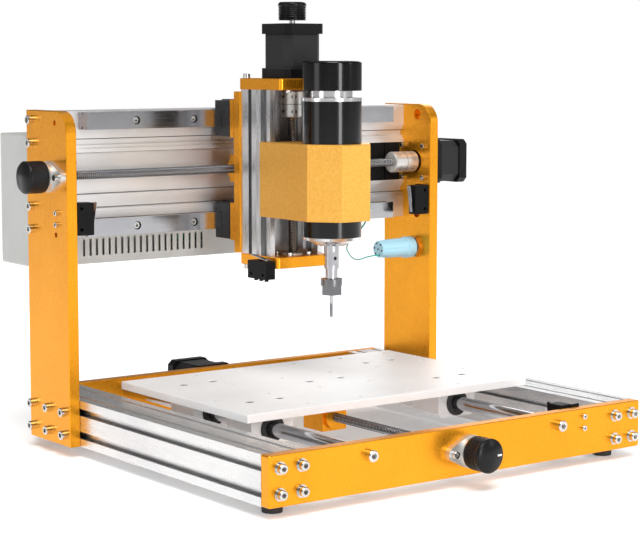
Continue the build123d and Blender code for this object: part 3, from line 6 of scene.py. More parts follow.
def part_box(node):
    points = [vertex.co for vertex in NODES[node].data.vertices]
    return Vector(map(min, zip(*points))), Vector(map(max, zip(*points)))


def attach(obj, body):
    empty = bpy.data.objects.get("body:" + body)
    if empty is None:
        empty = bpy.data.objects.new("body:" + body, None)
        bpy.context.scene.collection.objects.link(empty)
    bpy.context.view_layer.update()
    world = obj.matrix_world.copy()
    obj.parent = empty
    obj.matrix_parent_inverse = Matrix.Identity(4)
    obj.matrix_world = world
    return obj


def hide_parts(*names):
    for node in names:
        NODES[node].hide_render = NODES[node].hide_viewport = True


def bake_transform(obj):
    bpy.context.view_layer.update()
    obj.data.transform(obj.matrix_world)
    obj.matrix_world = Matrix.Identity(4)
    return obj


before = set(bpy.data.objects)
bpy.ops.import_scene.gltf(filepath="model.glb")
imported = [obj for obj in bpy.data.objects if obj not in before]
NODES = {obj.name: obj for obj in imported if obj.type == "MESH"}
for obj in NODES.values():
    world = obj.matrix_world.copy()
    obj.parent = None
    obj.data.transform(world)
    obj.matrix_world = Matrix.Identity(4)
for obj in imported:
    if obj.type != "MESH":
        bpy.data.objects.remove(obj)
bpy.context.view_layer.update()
MM = 0.001

# ---- camera ----------------------------------------------------------------------------------
CAMERA_X = -0.9839
CAMERA_FRONT = 1.1252          # in front of the front plate's face
CAMERA_Z = 0.3439
CAMERA_YAW = 0.6349
CAMERA_PITCH = -0.1053
CAMERA_LENS = 106.25
SHIFT_X = 0.0124
SHIFT_Y = -0.0237
SENSOR = 36
FRONT_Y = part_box("front_plate")[0].y
MIDDLE_X = (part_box("front_plate")[0].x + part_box("front_plate")[1].x) / 2


def make_camera():
    data = bpy.data.cameras.new("camera")
    data.sensor_width = SENSOR
    data.lens = CAMERA_LENS
    data.shift_x = SHIFT_X
    data.shift_y = SHIFT_Y
    data.clip_start = 0.05
    data.clip_end = 50
    camera = bpy.data.objects.new("camera", data)
    bpy.context.scene.collection.objects.link(camera)
    camera.location = (MIDDLE_X + CAMERA_X, FRONT_Y - CAMERA_FRONT, CAMERA_Z)
    level = math.cos(CAMERA_PITCH)
    ahead = Vector((math.sin(CAMERA_YAW) * level, math.cos(CAMERA_YAW) * level, math.sin(CAMERA_PITCH)))
    camera.rotation_mode = "QUATERNION"
    camera.rotation_quaternion = ahead.to_track_quat("-Z", "Y")
    bpy.context.scene.camera = camera


# ---- light and floor -------------------------------------------------------------------------
SURROUND = 0.42              # strength of what the metal reflects between the lights
HORIZON = 0.55               # its level at eye height
OVERHEAD = 1.4
BETWEEN = ((0.10, 0.60), (0.26, 0.40), (0.55, 0.30), (0.75, 1.1))   # share of the way up, level
BACKDROP = 1.0               # what the camera sees behind the floor
SUN_WAY = (0.45, 0.75, -1.5)
SUN_POWER = 2.35
SUN_ANGLE = math.radians(35)
FLOOR_HALF = 8
FLOOR_DROP = 0.4 * MM         # keeps the floor clear of the feet
FLOOR_GLOW = 0.20             # lifts the far floor to the white of the backdrop


def area_light(name, place, target, width, height, power):
    data = bpy.data.lights.new(name, "AREA")
    data.shape = "RECTANGLE"
    data.size = width
    data.size_y = height
    data.energy = power
    light = bpy.data.objects.new(name, data)
    bpy.context.scene.collection.objects.link(light)
    light.location = place
    light.rotation_mode = "QUATERNION"
    light.rotation_quaternion = (Vector(target) - Vector(place)).to_track_quat("-Z", "Y")


def make_world():
    """Grey surround, darkest half way up and brightest overhead, with a white backdrop for the camera."""
    world = bpy.data.worlds.new("studio")
    bpy.context.scene.world = world
    world.use_nodes = True
    tree = world.node_tree
    nodes, links = tree.nodes, tree.links
    coords = nodes.new("ShaderNodeTexCoord")
    split = nodes.new("ShaderNodeSeparateXYZ")
    ramp = nodes.new("ShaderNodeValToRGB")
    links.new(coords.outputs["Generated"], split.inputs[0])
    links.new(split.outputs["Z"], ramp.inputs["Fac"])
    stops = ramp.color_ramp.elements
    stops[0].position = 0.0
    stops[0].color = (HORIZON, HORIZON, HORIZON, 1)
    stops[1].position = 1.0
    stops[1].color = (OVERHEAD, OVERHEAD, OVERHEAD, 1)
    for position, level in BETWEEN:
        stop = stops.new(position)
        stop.color = (level, level, level, 1)
    lit = nodes["Background"]
    links.new(ramp.outputs["Color"], lit.inputs["Color"])
    lit.inputs["Strength"].default_value = SURROUND
    white = nodes.new("ShaderNodeBackground")
    white.inputs["Strength"].default_value = BACKDROP
    white.inputs["Color"].default_value = (1, 1, 1, 1)
    path = nodes.new("ShaderNodeLightPath")
    mix = nodes.new("ShaderNodeMixShader")
    links.new(path.outputs["Is Camera Ray"], mix.inputs[0])
    links.new(lit.outputs[0], mix.inputs[1])
    links.new(white.outputs[0], mix.inputs[2])
    links.new(mix.outputs[0], nodes["World Output"].inputs[0])


def make_studio(floor_material):
    make_world()
    bpy.context.scene.view_settings.view_transform = "Standard"
    sun = bpy.data.lights.new("sky_panel", "SUN")
    sun.energy = SUN_POWER
    sun.angle = SUN_ANGLE
    panel = bpy.data.objects.new("sky_panel", sun)
    bpy.context.scene.collection.objects.link(panel)
    panel.rotation_mode = "QUATERNION"
    panel.rotation_quaternion = Vector(SUN_WAY).to_track_quat("-Z", "Y")
    area_light("front_strip", (-0.12, -1.9, 0.45), (0, 0, 0.25), 0.36, 1.3, 17)
    area_light("front_right_panel", (1.2, -1.4, 0.8), (0, 0, 0.15), 0.4, 0.9, 3)
    area_light("left_side_panel", (-1.7, 0.15, 0.6), (0, 0, 0.2), 0.6, 1.0, 4)
    area_light("back_right_panel", (1.3, 1.2, 1.0), (0, 0, 0.2), 0.9, 0.9, 6)
    mesh = bpy.data.meshes.new("floor")
    corners = [(FLOOR_HALF * x, FLOOR_HALF * y, 0) for x, y in ((-1, -1), (1, -1), (1, 1), (-1, 1))]
    mesh.from_pydata(corners, [], [(0, 1, 2, 3)])
    floor = bpy.data.objects.new("floor", mesh)
    bpy.context.scene.collection.objects.link(floor)
    floor.location.z = -FLOOR_DROP
    mesh.materials.append(floor_material)
    glow = floor_material.node_tree.nodes["Principled BSDF"].inputs
    glow["Emission Color"].default_value = (1, 1, 1, 1)
    glow["Emission Strength"].default_value = FLOOR_GLOW


# ---- materials -------------------------------------------------------------------------------
NOISE_LOW, NOISE_HIGH = 0.3, 0.7       # most of a noise value lies between these
RAMP_EDGE = 0.35
NOISE_ROUGHNESS = 0.55
COAT_ROUGHNESS = 0.08
BUMP_STRENGTH = 0.6


def ramp_between(tree, source, low, high):
    """Mixes two colours by a noise value, spread over the middle of its range."""
    ramp = tree.nodes.new("ShaderNodeValToRGB")
    stops = ramp.color_ramp.elements
    stops[0].position = RAMP_EDGE
    stops[0].color = (*low, 1)
    stops[1].position = 1 - RAMP_EDGE
    stops[1].color = (*high, 1)
    tree.links.new(source, ramp.inputs["Fac"])
    return ramp.outputs["Color"]


def map_to(tree, source, low, high):
    """Spreads a noise value from low to high."""
    node = tree.nodes.new("ShaderNodeMapRange")
    node.inputs["From Min"].default_value = NOISE_LOW
    node.inputs["From Max"].default_value = NOISE_HIGH
    node.inputs["To Min"].default_value = low
    node.inputs["To Max"].default_value = high
    tree.links.new(source, node.inputs["Value"])
    return node.outputs["Result"]


def object_coords(tree, stretch=(1, 1, 1)):
    coords = tree.nodes.new("ShaderNodeTexCoord")
    mapping = tree.nodes.new("ShaderNodeMapping")
    mapping.inputs["Scale"].default_value = stretch
    tree.links.new(coords.outputs["Object"], mapping.inputs["Vector"])
    return mapping.outputs["Vector"]


def noise(tree, vector, scale, detail):
    node = tree.nodes.new("ShaderNodeTexNoise")
    node.inputs["Scale"].default_value = scale
    node.inputs["Detail"].default_value = detail
    node.inputs["Roughness"].default_value = NOISE_ROUGHNESS
    tree.links.new(vector, node.inputs["Vector"])
    return node.outputs["Fac"]


def bump(tree, height, distance):
    node = tree.nodes.new("ShaderNodeBump")
    node.inputs["Strength"].default_value = BUMP_STRENGTH
    node.inputs["Distance"].default_value = distance
    tree.links.new(height, node.inputs["Height"])
    return node.outputs["Normal"]


def surface(name, colour, second, metallic, rough, span, stretch=(1, 1, 1), grain=900, depth=0.00002,
            blotch=14, coat=0.0, specular=0.5, extra=None):
    """Material with a slow colour drift, a fine grain in its roughness and a matching bump."""
    material = bpy.data.materials.new(name)
    material.use_nodes = True
    tree = material.node_tree
    shader = tree.nodes["Principled BSDF"]
    slow = noise(tree, object_coords(tree), blotch, 3)
    fine = noise(tree, object_coords(tree, stretch), grain, 5)
    base = ramp_between(tree, slow, colour, second)
    if extra is not None:
        base = extra(tree, base)
    tree.links.new(base, shader.inputs["Base Color"])
    tree.links.new(map_to(tree, fine, rough - span, rough + span), shader.inputs["Roughness"])
    shader.inputs["Metallic"].default_value = metallic
    shader.inputs["Coat Weight"].default_value = coat
    shader.inputs["Specular IOR Level"].default_value = specular
    if coat:
        shader.inputs["Coat Roughness"].default_value = COAT_ROUGHNESS
    if depth:
        tree.links.new(bump(tree, fine, depth), shader.inputs["Normal"])
    return material


ALONG_X = (0.02, 1, 1)
ALONG_Y = (1, 0.02, 1)
ALONG_Z = (1, 1, 0.02)
GOLD = (0.93, 0.375, 0.016)
GOLD_DEEP = (0.88, 0.345, 0.013)
SILVER = (0.80, 0.80, 0.80)
SILVER_DEEP = (0.72, 0.72, 0.73)
STEEL = (0.50, 0.50, 0.51)
STEEL_DEEP = (0.40, 0.40, 0.42)
BLACK = (0.006, 0.006, 0.0065)
BLACK_SOFT = (0.012, 0.012, 0.013)


BEAM_SHADE_LINES = (0.225, 0.335)        # share of the beam's height from each edge
SHADE_LINE_HALF = 0.35 * MM
# dark grey of painted shade along each beam line
SHADE_LINE_GREY = (0.10, 0.10, 0.105)
CHANNEL_GROOVE_SHADE = ((0.30, 2.0 * MM), (0.74, 2.6 * MM))     # share of the depth from the back, half width
# darker grey of painted shade in the channel's grooves
GROOVE_SHADE_GREY = (0.22, 0.22, 0.225)


def slotted_bands(axis, places, half, colour, tree, base):
    """Shows another colour in bands across an axis, such as the stack between a motor's end caps, or painted
    shade in grooves; places are in metres.
    """
    coords = tree.nodes.new("ShaderNodeTexCoord")
    split = tree.nodes.new("ShaderNodeSeparateXYZ")
    tree.links.new(coords.outputs["Object"], split.inputs[0])
    mask = None
    for place in places:
        away = tree.nodes.new("ShaderNodeMath")
        away.operation = "COMPARE"
        away.inputs[1].default_value = place
        away.inputs[2].default_value = half
        tree.links.new(split.outputs[axis], away.inputs[0])
        if mask is None:
            mask = away.outputs[0]
            continue
        both = tree.nodes.new("ShaderNodeMath")
        both.operation = "MAXIMUM"
        tree.links.new(mask, both.inputs[0])
        tree.links.new(away.outputs[0], both.inputs[1])
        mask = both.outputs[0]
    mix = tree.nodes.new("ShaderNodeMix")
    mix.data_type = "RGBA"
    tree.links.new(mask, mix.inputs["Factor"])
    tree.links.new(base, mix.inputs["A"])
    mix.inputs["B"].default_value = (*colour, 1)
    return mix.outputs["Result"]


def beam_groove_shade(tree, base):
    """Fine dark lines of painted shade along the beam, for the small steps in its face, the same distances
    from its top and bottom edges.
    """
    low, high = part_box("gantry_beam")
    places = []
    for share in BEAM_SHADE_LINES:
        step = share * (high.z - low.z)
        places += [low.z + step, high.z - step]
    return slotted_bands("Z", places, SHADE_LINE_HALF, SHADE_LINE_GREY, tree, base)


def channel_groove_shade(tree, base):
    """Two bands of painted shade up each side of the z channel, where its grooves fall dark."""
    low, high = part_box("z_channel")
    for middle, half in CHANNEL_GROOVE_SHADE:
        place = high.y - middle * (high.y - low.y)
        base = slotted_bands("Y", (place,), half, GROOVE_SHADE_GREY, tree, base)
    return base


MOTOR_CAP = 10 * MM
STACK_GREY = (0.024, 0.024, 0.025)
STACK_ACROSS, STACK_ALONG = 0.4, 24    # the grain is this much finer along the motor


def motor_finish(name, axis):
    """Black end caps with a dark grey stack of thin laminations between them."""
    low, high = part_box(name)
    index = "XYZ".index(axis)
    length = high[index] - low[index]
    middle = (low[index] + high[index]) / 2
    stretch = [STACK_ACROSS] * 3
    stretch[index] = STACK_ALONG
    material = surface(name, (0.005, 0.005, 0.0055), (0.009, 0.009, 0.0095), 0.05, 0.42, 0.08, specular=0.16,
                       stretch=stretch, grain=60, depth=0.0001,
                       extra=lambda tree, base: slotted_bands(
                           axis, (middle,), length / 2 - MOTOR_CAP, STACK_GREY, tree, base))
    return material


def make_materials():
    gold = dict(metallic=0.82, rough=0.30, span=0.05)
    silver = dict(metallic=0.95, rough=0.30, span=0.07)
    return {
        "gold": surface("gold", GOLD, GOLD_DEEP, stretch=(1, 1, 0.2), grain=1400, depth=0.000006, **gold),
        "gold_blasted": surface("gold_blasted", (0.92, 0.50, 0.100), (0.85, 0.43, 0.070), 0.75, 0.40, 0.14,
                                grain=750, depth=0.00030, blotch=420),
        "profile": surface("profile", SILVER, SILVER_DEEP, stretch=ALONG_Y, grain=1500, depth=0.000012,
                           **silver),
        "beam": surface("beam", SILVER, SILVER_DEEP, 0.85, 0.44, 0.07, stretch=ALONG_X, grain=1500,
                        depth=0.000012, extra=beam_groove_shade),
        "coupling": surface("coupling", (0.74, 0.73, 0.71), (0.66, 0.65, 0.63), 0.85, 0.38, 0.06, grain=900,
                            depth=0.00001),
        "channel": surface("channel", SILVER, SILVER_DEEP, stretch=ALONG_Z, grain=1500, depth=0.000012,
                           extra=channel_groove_shade, **silver),
        "bed": surface("bed", (0.94, 0.94, 0.94), (0.88, 0.88, 0.885), 0.30, 0.42, 0.06, stretch=ALONG_X,
                       grain=1100, depth=0.00001),
        "white_alloy": surface("white_alloy", (0.88, 0.88, 0.88), (0.82, 0.82, 0.83), 0.4, 0.40, 0.06,
                               grain=1500, depth=0.00002),
        "turned": surface("turned", (0.78, 0.78, 0.78), (0.70, 0.70, 0.71), 1.0, 0.20, 0.06, stretch=ALONG_Z,
                          grain=800, depth=0.00001),
        "steel_x": surface("steel_x", STEEL, STEEL_DEEP, 1.0, 0.16, 0.05, stretch=ALONG_X, grain=1300,
                           depth=0.000006),
        "steel_y": surface("steel_y", STEEL, STEEL_DEEP, 1.0, 0.13, 0.04, stretch=ALONG_Y, grain=1300,
                           depth=0.000004),
        "steel_z": surface("steel_z", STEEL, STEEL_DEEP, 1.0, 0.18, 0.05, stretch=ALONG_Z, grain=1300,
                           depth=0.000006),
        # near black for the thread roots: painted shade in the thread's grooves
        "thread_root_shade": surface("thread_root_shade", (0.016, 0.016, 0.017), (0.03, 0.03, 0.032), 0.6, 0.45, 0.08,
                               grain=1500, depth=0.00001),
        "dark_steel": surface("dark_steel", (0.13, 0.13, 0.135), (0.19, 0.19, 0.20), 1.0, 0.24, 0.06,
                              grain=1300, depth=0.00001),
        "screw": surface("screw", (0.70, 0.69, 0.67), (0.60, 0.59, 0.57), 1.0, 0.20, 0.06, grain=2200,
                         depth=0.00001),
        "brass": surface("brass", (0.72, 0.47, 0.16), (0.64, 0.40, 0.12), 1.0, 0.26, 0.06, grain=1500,
                         depth=0.00001),
        "black_anodised": surface("black_anodised", BLACK, BLACK_SOFT, 0.15, 0.24, 0.05, grain=1600,
                                  depth=0.000005, specular=0.18),
        "black_gloss": surface("black_gloss", (0.002, 0.002, 0.0022), (0.003, 0.003, 0.0032), 0.0, 0.15, 0.04,
                               stretch=ALONG_Z, grain=900, depth=0.000003, specular=0.34),
        "black_plastic": surface("black_plastic", (0.005, 0.005, 0.0055), (0.009, 0.009, 0.0095), 0.0, 0.42,
                                 0.08, grain=2500, depth=0.00003, specular=0.10),
        "black_steel": surface("black_steel", (0.012, 0.012, 0.013), (0.024, 0.024, 0.026), 0.3, 0.36, 0.08,
                               grain=1700, depth=0.00001),
        "rubber": surface("rubber", (0.02, 0.02, 0.02), (0.03, 0.03, 0.03), 0.0, 0.75, 0.08, grain=1800,
                          depth=0.00006),
        "grey_paint": surface("grey_paint", (0.56, 0.565, 0.55), (0.52, 0.525, 0.51), 0.25, 0.45, 0.06,
                              grain=1300, depth=0.00003),
        "board": surface("board", (0.01, 0.10, 0.045), (0.015, 0.14, 0.06), 0.0, 0.35, 0.08, grain=500,
                         depth=0.00004, coat=0.4),
        "blue_plastic": surface("blue_plastic", (0.36, 0.62, 0.74), (0.32, 0.57, 0.69), 0.0, 0.30, 0.06,
                                grain=1500, depth=0.00002, coat=0.2),
        "teal_wire": surface("teal_wire", (0.02, 0.36, 0.30), (0.015, 0.30, 0.25), 0.0, 0.35, 0.06,
                             grain=1500, depth=0.00001, coat=0.2),
        "white_mark": surface("white_mark", (0.85, 0.85, 0.85), (0.80, 0.80, 0.80), 0.0, 0.5, 0.05,
                              grain=1500, depth=0.00001),
        # near black: the set screws' own black, and painted shade in the coupling slits and contact holes
        "black_screw_and_hole_shade": surface("black_screw_and_hole_shade", (0.01, 0.012, 0.015), (0.02, 0.022, 0.025), 0.0, 0.6, 0.05,
                             grain=1500, depth=0.00001),
        "floor": surface("floor", (0.93, 0.93, 0.93), (0.91, 0.91, 0.91), 0, 0.7, 0.05, grain=60, depth=0),
        "x_motor": motor_finish("x_motor", "X"),
        "y_motor": motor_finish("y_motor", "Y"),
        "z_motor": motor_finish("z_motor", "Z"),
    }


NODE_FINISH = {
    "gold": "front_plate back_plate left_upright right_upright x_carriage_plate z_top_plate z_bottom_plate"
            " y_nut_housing x_nut_housing",
    "gold_blasted": "spindle_clamp",
    "profile": "left_side_profile right_side_profile",
    "beam": "gantry_beam",
    "channel": "z_channel",
    "bed": "bed_plate",
    "white_alloy": "bed_bearing_blocks z_slider z_lower_bearing",
    "coupling": "x_coupling y_coupling z_coupling knob_bearings",
    "turned": "spindle_ends",
    "steel_x": "x_rails x_lead_screw",
    "steel_y": "y_rods y_lead_screw",
    "dark_steel": "collet_nut",
    "steel_z": "z_rails z_lead_screw spindle_shaft end_mill x_left_switch_lever x_right_switch_lever"
               " y_switch_lever z_switch_lever",
    "screw": "base_screws frame_screws small_screws z_frame_screws clamp_screws bed_screws",
    "black_anodised": "x_knob y_knob z_knob",
    "black_gloss": "spindle_housing spindle_cap",
    "black_plastic": "beam_end_cover limit_switches z_limit_switch",
    "black_steel": "x_rail_blocks",
    "rubber": "rubber_feet",
    "grey_paint": "control_box control_box_cover",
    "board": "control_board",
    "blue_plastic": "cable_connector",
    "teal_wire": "signal_wire",
    "x_motor": "x_motor",
    "y_motor": "y_motor",
    "z_motor": "z_motor",
}


def finish_cad_nodes(finishes):
    for finish, names in NODE_FINISH.items():
        for name in names.split():
            for place in NODES[name].material_slots:
                place.material = finishes[finish]


# ---- mesh helpers ----------------------------------------------------------------------------
def add_piece(name, verts, faces, material, body, replaces=(), smooth=True):
    mesh = bpy.data.meshes.new(name)
    mesh.from_pydata(verts, [], faces)
    mesh.update()
    if smooth:
        mesh.polygons.foreach_set("use_smooth", [True] * len(mesh.polygons))
    piece = bpy.data.objects.new(name, mesh)
    bpy.context.scene.collection.objects.link(piece)
    mesh.materials.append(material)
    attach(piece, body)
    if replaces:
        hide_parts(*replaces)
    return piece


def pointing(origin, way):
    """Matrix that puts local z along the way, at the origin."""
    return Matrix.Translation(Vector(origin)) @ Vector(way).to_track_quat("Z", "Y").to_matrix().to_4x4()


def turned_skin(rows, segments, place, radius_at):
    """Closed skin of rings; radius_at(ring, height, angle) gives each point's distance from the axis."""
    verts = []
    for ring, height in enumerate(rows):
        for s in range(segments):
            angle = 2 * math.pi * s / segments
            r = radius_at(ring, height, angle)
            verts.append(place @ Vector((r * math.cos(angle), r * math.sin(angle), height)))
    faces = []
    for ring in range(len(rows) - 1):
        a, b = ring * segments, (ring + 1) * segments
        for s in range(segments):
            t = (s + 1) % segments
            faces.append((a + s, a + t, b + t, b + s))
    low, high = len(verts), len(verts) + 1
    verts.append(place @ Vector((0, 0, rows[0])))
    verts.append(place @ Vector((0, 0, rows[-1])))
    last = (len(rows) - 1) * segments
    for s in range(segments):
        t = (s + 1) % segments
        faces.append((low, t, s))
        faces.append((high, last + s, last + t))
    return verts, faces


def zigzag(value):
    """Triangle wave from 0 to 1 and back, once per unit."""
    part = value % 1.0
    return 1 - abs(2 * part - 1)


# ---- drive screws and knobs ------------------------------------------------------------------
THREAD_PITCH = 2 * MM
THREAD_STARTS = 4
THREAD_DEPTH = 0.75 * MM
THREAD_STEP = THREAD_PITCH / 6
CREST, FLANK = 0.3, 0.35      # shares of half a pitch
THREAD_FADE = 2 * MM
END_CHAMFER = 0.5 * MM
ROOT_SHADE_SHARE = 0.35             # how far down the thread the dark root begins: painted shade, on a duller finish
SCREW_SEGMENTS = 32


def threaded_screw(node, way, body, material, root_shade_material):
    """Lead screw with a four-start trapezoidal thread, in place of the plain CAD bar."""
    low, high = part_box(node)
    way = Vector(way)
    middle = (low + high) / 2
    length = abs((high - low).dot(way))
    start = middle - way * length / 2
    radius = min(high - low) / 2
    rings = [i * THREAD_STEP for i in range(int(length / THREAD_STEP))] + [length]

    def radius_at(ring, height, angle):
        edge = min(height, length - height)
        wave = zigzag(height / THREAD_PITCH - THREAD_STARTS * angle / (2 * math.pi))
        cut = min(1, max(0, (wave - CREST) / FLANK))
        fade = min(1, edge / THREAD_FADE)
        return radius - THREAD_DEPTH * cut * fade - (END_CHAMFER if edge < 0.01 * MM else 0)

    place = pointing(start, way)
    verts, faces = turned_skin(rings, SCREW_SEGMENTS, place, radius_at)
    screw = add_piece(node + "_threaded", verts, faces, material, body, [node])
    screw.data.materials.append(root_shade_material)
    axis_point = place.translation
    # faces deep in the thread take the second material: painted shade in the roots
    for face in screw.data.polygons:
        off = face.center - axis_point
        if (off - way * off.dot(way)).length < radius - ROOT_SHADE_SHARE * THREAD_DEPTH:
            face.material_index = 1


KNOB_CHAMFER = 1.4 * MM
KNOB_FOOT = 1.2 * MM
KNOB_CAP = 4.2 * MM
FOOT_CHAMFER = 0.4 * MM
FOOT_STEP = 0.5 * MM


def knurled_knob(node, way, body, material, around, pitch, depth, ringed=False):
    """Knob with a crossed knurl or plain rings round its side, in place of the fluted CAD knob."""
    low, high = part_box(node)
    way = Vector(way)
    length = abs((high - low).dot(way))
    radius = sorted(high - low)[1] / 2
    start = (low + high) / 2 - way * length / 2
    step = pitch / 5
    band_low, band_high = KNOB_FOOT, length - KNOB_CAP
    inner = [band_low + i * step for i in range(int((band_high - band_low) / step) + 1)]
    rows = [0, FOOT_CHAMFER, band_low - 0.1 * MM] + inner
    rows += [band_high + 0.4 * MM, length - KNOB_CHAMFER, length]

    def radius_at(ring, height, angle):
        if height <= 0 or height >= length:
            return radius - (KNOB_CHAMFER if height >= length else FOOT_CHAMFER)
        if not band_low <= height <= band_high:
            return radius - (FOOT_STEP if height < band_high else 0)
        if ringed:
            return radius - depth * (1 - zigzag(height / pitch))
        turn = around * angle / (2 * math.pi)
        rise = height / pitch
        return radius - depth * (1 - min(zigzag(turn + rise), zigzag(turn - rise)))

    verts, faces = turned_skin(rows, around * 6, pointing(start, way), radius_at)
    return add_piece(node + "_knurled", verts, faces, material, body, [node])


def make_drives(finishes):
    root = finishes["thread_root_shade"]
    threaded_screw("x_lead_screw", (1, 0, 0), "x_screw", finishes["steel_x"], root)
    threaded_screw("y_lead_screw", (0, 1, 0), "y_screw", finishes["steel_y"], root)
    threaded_screw("z_lead_screw", (0, 0, 1), "z_screw", finishes["steel_z"], root)
    black = finishes["black_anodised"]
    knurled_knob("x_knob", (-1, 0, 0), "x_screw", black, 56, 1.6 * MM, 0.5 * MM)
    knurled_knob("y_knob", (0, -1, 0), "y_screw", black, 56, 1.6 * MM, 0.5 * MM)
    knurled_knob("z_knob", (0, 0, 1), "z_screw", black, 24, 1.7 * MM, 0.8 * MM, ringed=True)


# ---- turned fittings -------------------------------------------------------------------------
def lathed(name, profile, place, material, body, segments=48, replaces=(), radius_scale=None):
    """Piece turned from a profile of (radius, height) points; a radius of 0 closes an end."""
    verts, rings = [], []
    for radius, height in profile:
        if radius < 1e-7:
            rings.append([len(verts)])
            verts.append(place @ Vector((0, 0, height)))
            continue
        ring = []
        for s in range(segments):
            angle = 2 * math.pi * s / segments
            r = radius * (radius_scale(angle, height) if radius_scale else 1)
            ring.append(len(verts))
            verts.append(place @ Vector((r * math.cos(angle), r * math.sin(angle), height)))
        rings.append(ring)
    faces = []
    for lower, upper in zip(rings, rings[1:]):
        for s in range(segments):
            t = (s + 1) % segments
            if len(lower) == 1:
                faces.append((lower[0], upper[t], upper[s]))
            elif len(upper) == 1:
                faces.append((lower[s], lower[t], upper[0]))
            else:
                faces.append((lower[s], lower[t], upper[t], upper[s]))
    piece = add_piece(name, verts, faces, material, body, replaces)
    flat = math.radians(30)
    piece.data.set_sharp_from_angle(angle=flat)
    return piece


def hexagonal(angle, height):
    """Radius of a regular hexagon, against the circle through its corners."""
    sixth = math.pi / 3
    return math.cos(sixth / 2) / math.cos(angle % sixth - sixth / 2)


def grub_profile(radius, depth):
    """Socket set screw seen from outside: rim, chamfer and a recess."""
    key = radius * 0.5
    return [(0, -depth), (radius, -depth), (radius, -0.1 * MM), (radius * 0.9, 0.05 * MM), (key, 0.05 * MM),
            (key * 0.95, -1.2 * MM), (0, -1.5 * MM)]


# ---- couplings -------------------------------------------------------------------------------
COUPLING_R = 10 * MM
X_COUPLING_L = 28 * MM
Z_COUPLING_L = 23.5 * MM
COUPLING_GAP = 1 * MM          # between a coupling and the plate beside it
GRUB_SHARES = (0.22, 0.78)
GRUB_SINK = 0.1 * MM
X_GRUB_R, Z_GRUB_R = 2.1 * MM, 2.4 * MM
GRUB_DEPTH = 3 * MM
SLIT_HALF = 0.25 * MM
SLIT_RISE, SLIT_SINK = 0.02 * MM, 0.2 * MM


def make_grub_screws(finishes):
    """Two pairs of black set screws on the x and z couplings, and a dark ring of painted shade for the slit
    round each one's middle.
    """
    screw_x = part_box("x_lead_screw")
    screw_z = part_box("z_lead_screw")
    x_axis = (screw_x[0] + screw_x[1]) / 2
    z_axis = (screw_z[0] + screw_z[1]) / 2
    out = COUPLING_R - GRUB_SINK
    black = finishes["black_screw_and_hole_shade"]
    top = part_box("z_top_plate")[0].z - COUPLING_GAP
    for side, way in {"front": Vector((-0.45, -0.89, 0)), "left": Vector((-0.89, 0.45, 0))}.items():
        for share in GRUB_SHARES:
            centre = Vector((z_axis.x, z_axis.y, top - Z_COUPLING_L * share)) + way * out
            lathed(f"z_grub_{side}_{round(share * 100)}", grub_profile(Z_GRUB_R, GRUB_DEPTH),
                   pointing(centre, way), black, "z_screw", segments=24)
    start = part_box("right_upright")[0].x - X_COUPLING_L - COUPLING_GAP
    for side, way in {"up": Vector((0, -0.55, 0.83)), "down": Vector((0, -0.83, -0.55))}.items():
        for share in GRUB_SHARES:
            centre = Vector((start + X_COUPLING_L * share, x_axis.y, x_axis.z)) + way * out
            lathed(f"x_grub_{side}_{round(share * 100)}", grub_profile(X_GRUB_R, GRUB_DEPTH),
                   pointing(centre, way), black, "x_screw", segments=24)
    # each slit is a thin dark ring just proud of the coupling: painted shade
    inner, outer = COUPLING_R - SLIT_SINK, COUPLING_R + SLIT_RISE
    ring = [(inner, -SLIT_HALF), (outer, -SLIT_HALF), (outer, SLIT_HALF), (inner, SLIT_HALF),
            (inner, -SLIT_HALF)]
    lathed("z_coupling_slit_shade", ring, pointing((z_axis.x, z_axis.y, top - Z_COUPLING_L / 2), (0, 0, 1)), black,
           "z_screw", segments=64)
    lathed("x_coupling_slit_shade", ring, pointing((start + X_COUPLING_L / 2, x_axis.y, x_axis.z), (1, 0, 0)),
           black, "x_screw", segments=64)


# ---- rod seals -------------------------------------------------------------------------------
BED_BLOCK_L = 36 * MM
SEAL_R = 11.6 * MM
SEAL_T = 1.6 * MM
SEAL_FIT = 0.35 * MM


def make_rod_seals(finishes):
    """Black wiper ring round the rod at both ends of each bed block."""
    rods_low, rods_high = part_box("y_rods")
    blocks_low, blocks_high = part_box("bed_bearing_blocks")
    rod_r = (rods_high.z - rods_low.z) / 2
    rod_z = (rods_high.z + rods_low.z) / 2
    rod_x = rods_high.x - rod_r - MIDDLE_X
    inner = rod_r + SEAL_FIT
    profile = [(inner, 0), (SEAL_R, 0), (SEAL_R, SEAL_T * 0.6), (SEAL_R - 0.6 * MM, SEAL_T),
               (inner + 1.4 * MM, SEAL_T), (inner, SEAL_T * 0.5), (inner, 0)]
    for side in (-1, 1):
        for name, y in (("front", blocks_low.y), ("back", blocks_high.y - BED_BLOCK_L)):
            for end, place_y, way in (("near", y, (0, -1, 0)), ("far", y + BED_BLOCK_L, (0, 1, 0))):
                place = pointing((MIDDLE_X + side * rod_x, place_y, rod_z), way)
                side_name = "right" if side > 0 else "left"
                lathed(f"rod_seal_{side_name}_{name}_{end}", profile, place, finishes["rubber"], "bed")


# ---- cable route, from the socket to the side of the z channel -------------------------------
WIRE_D = 1.4 * MM
WIRE_ROUTE = [
    (150, 304, 151.5),
    (138, 304, 151.5),
    (118, 295, 149.5),
    (94, 273, 154),
    (69, 248, 163),
    (52, 229, 171),
    (44, 214, 177.5),
    (43, 200, 187),
    (45, 189, 199),
    (47, 186, 213),
    (48, 194, 225),
    (48, 210, 231),
    (46, 228, 233),
    (43, 243, 232),
    (38, 257, 230),
    (28.5, 257, 230),
]


# ---- connector -------------------------------------------------------------------------------
NUT_R, NUT_T = 11.5 * MM, 3 * MM
WASHER_R, WASHER_T = 9.4 * MM, 1.2 * MM
COLLAR_R, COLLAR_L = 10.5 * MM, 9 * MM
SOCKET_R = 9.5 * MM            # just past the collar; it narrows to its face
SOCKET_FACE_R = 7.7 * MM
LOBES, LOBE_DEPTH = 6, 0.05
CONTACT_R, CONTACT_DEPTH = 1.05 * MM, 2 * MM
CONTACTS_ROUND = 6             # and one in the middle; the wire leaves by the first


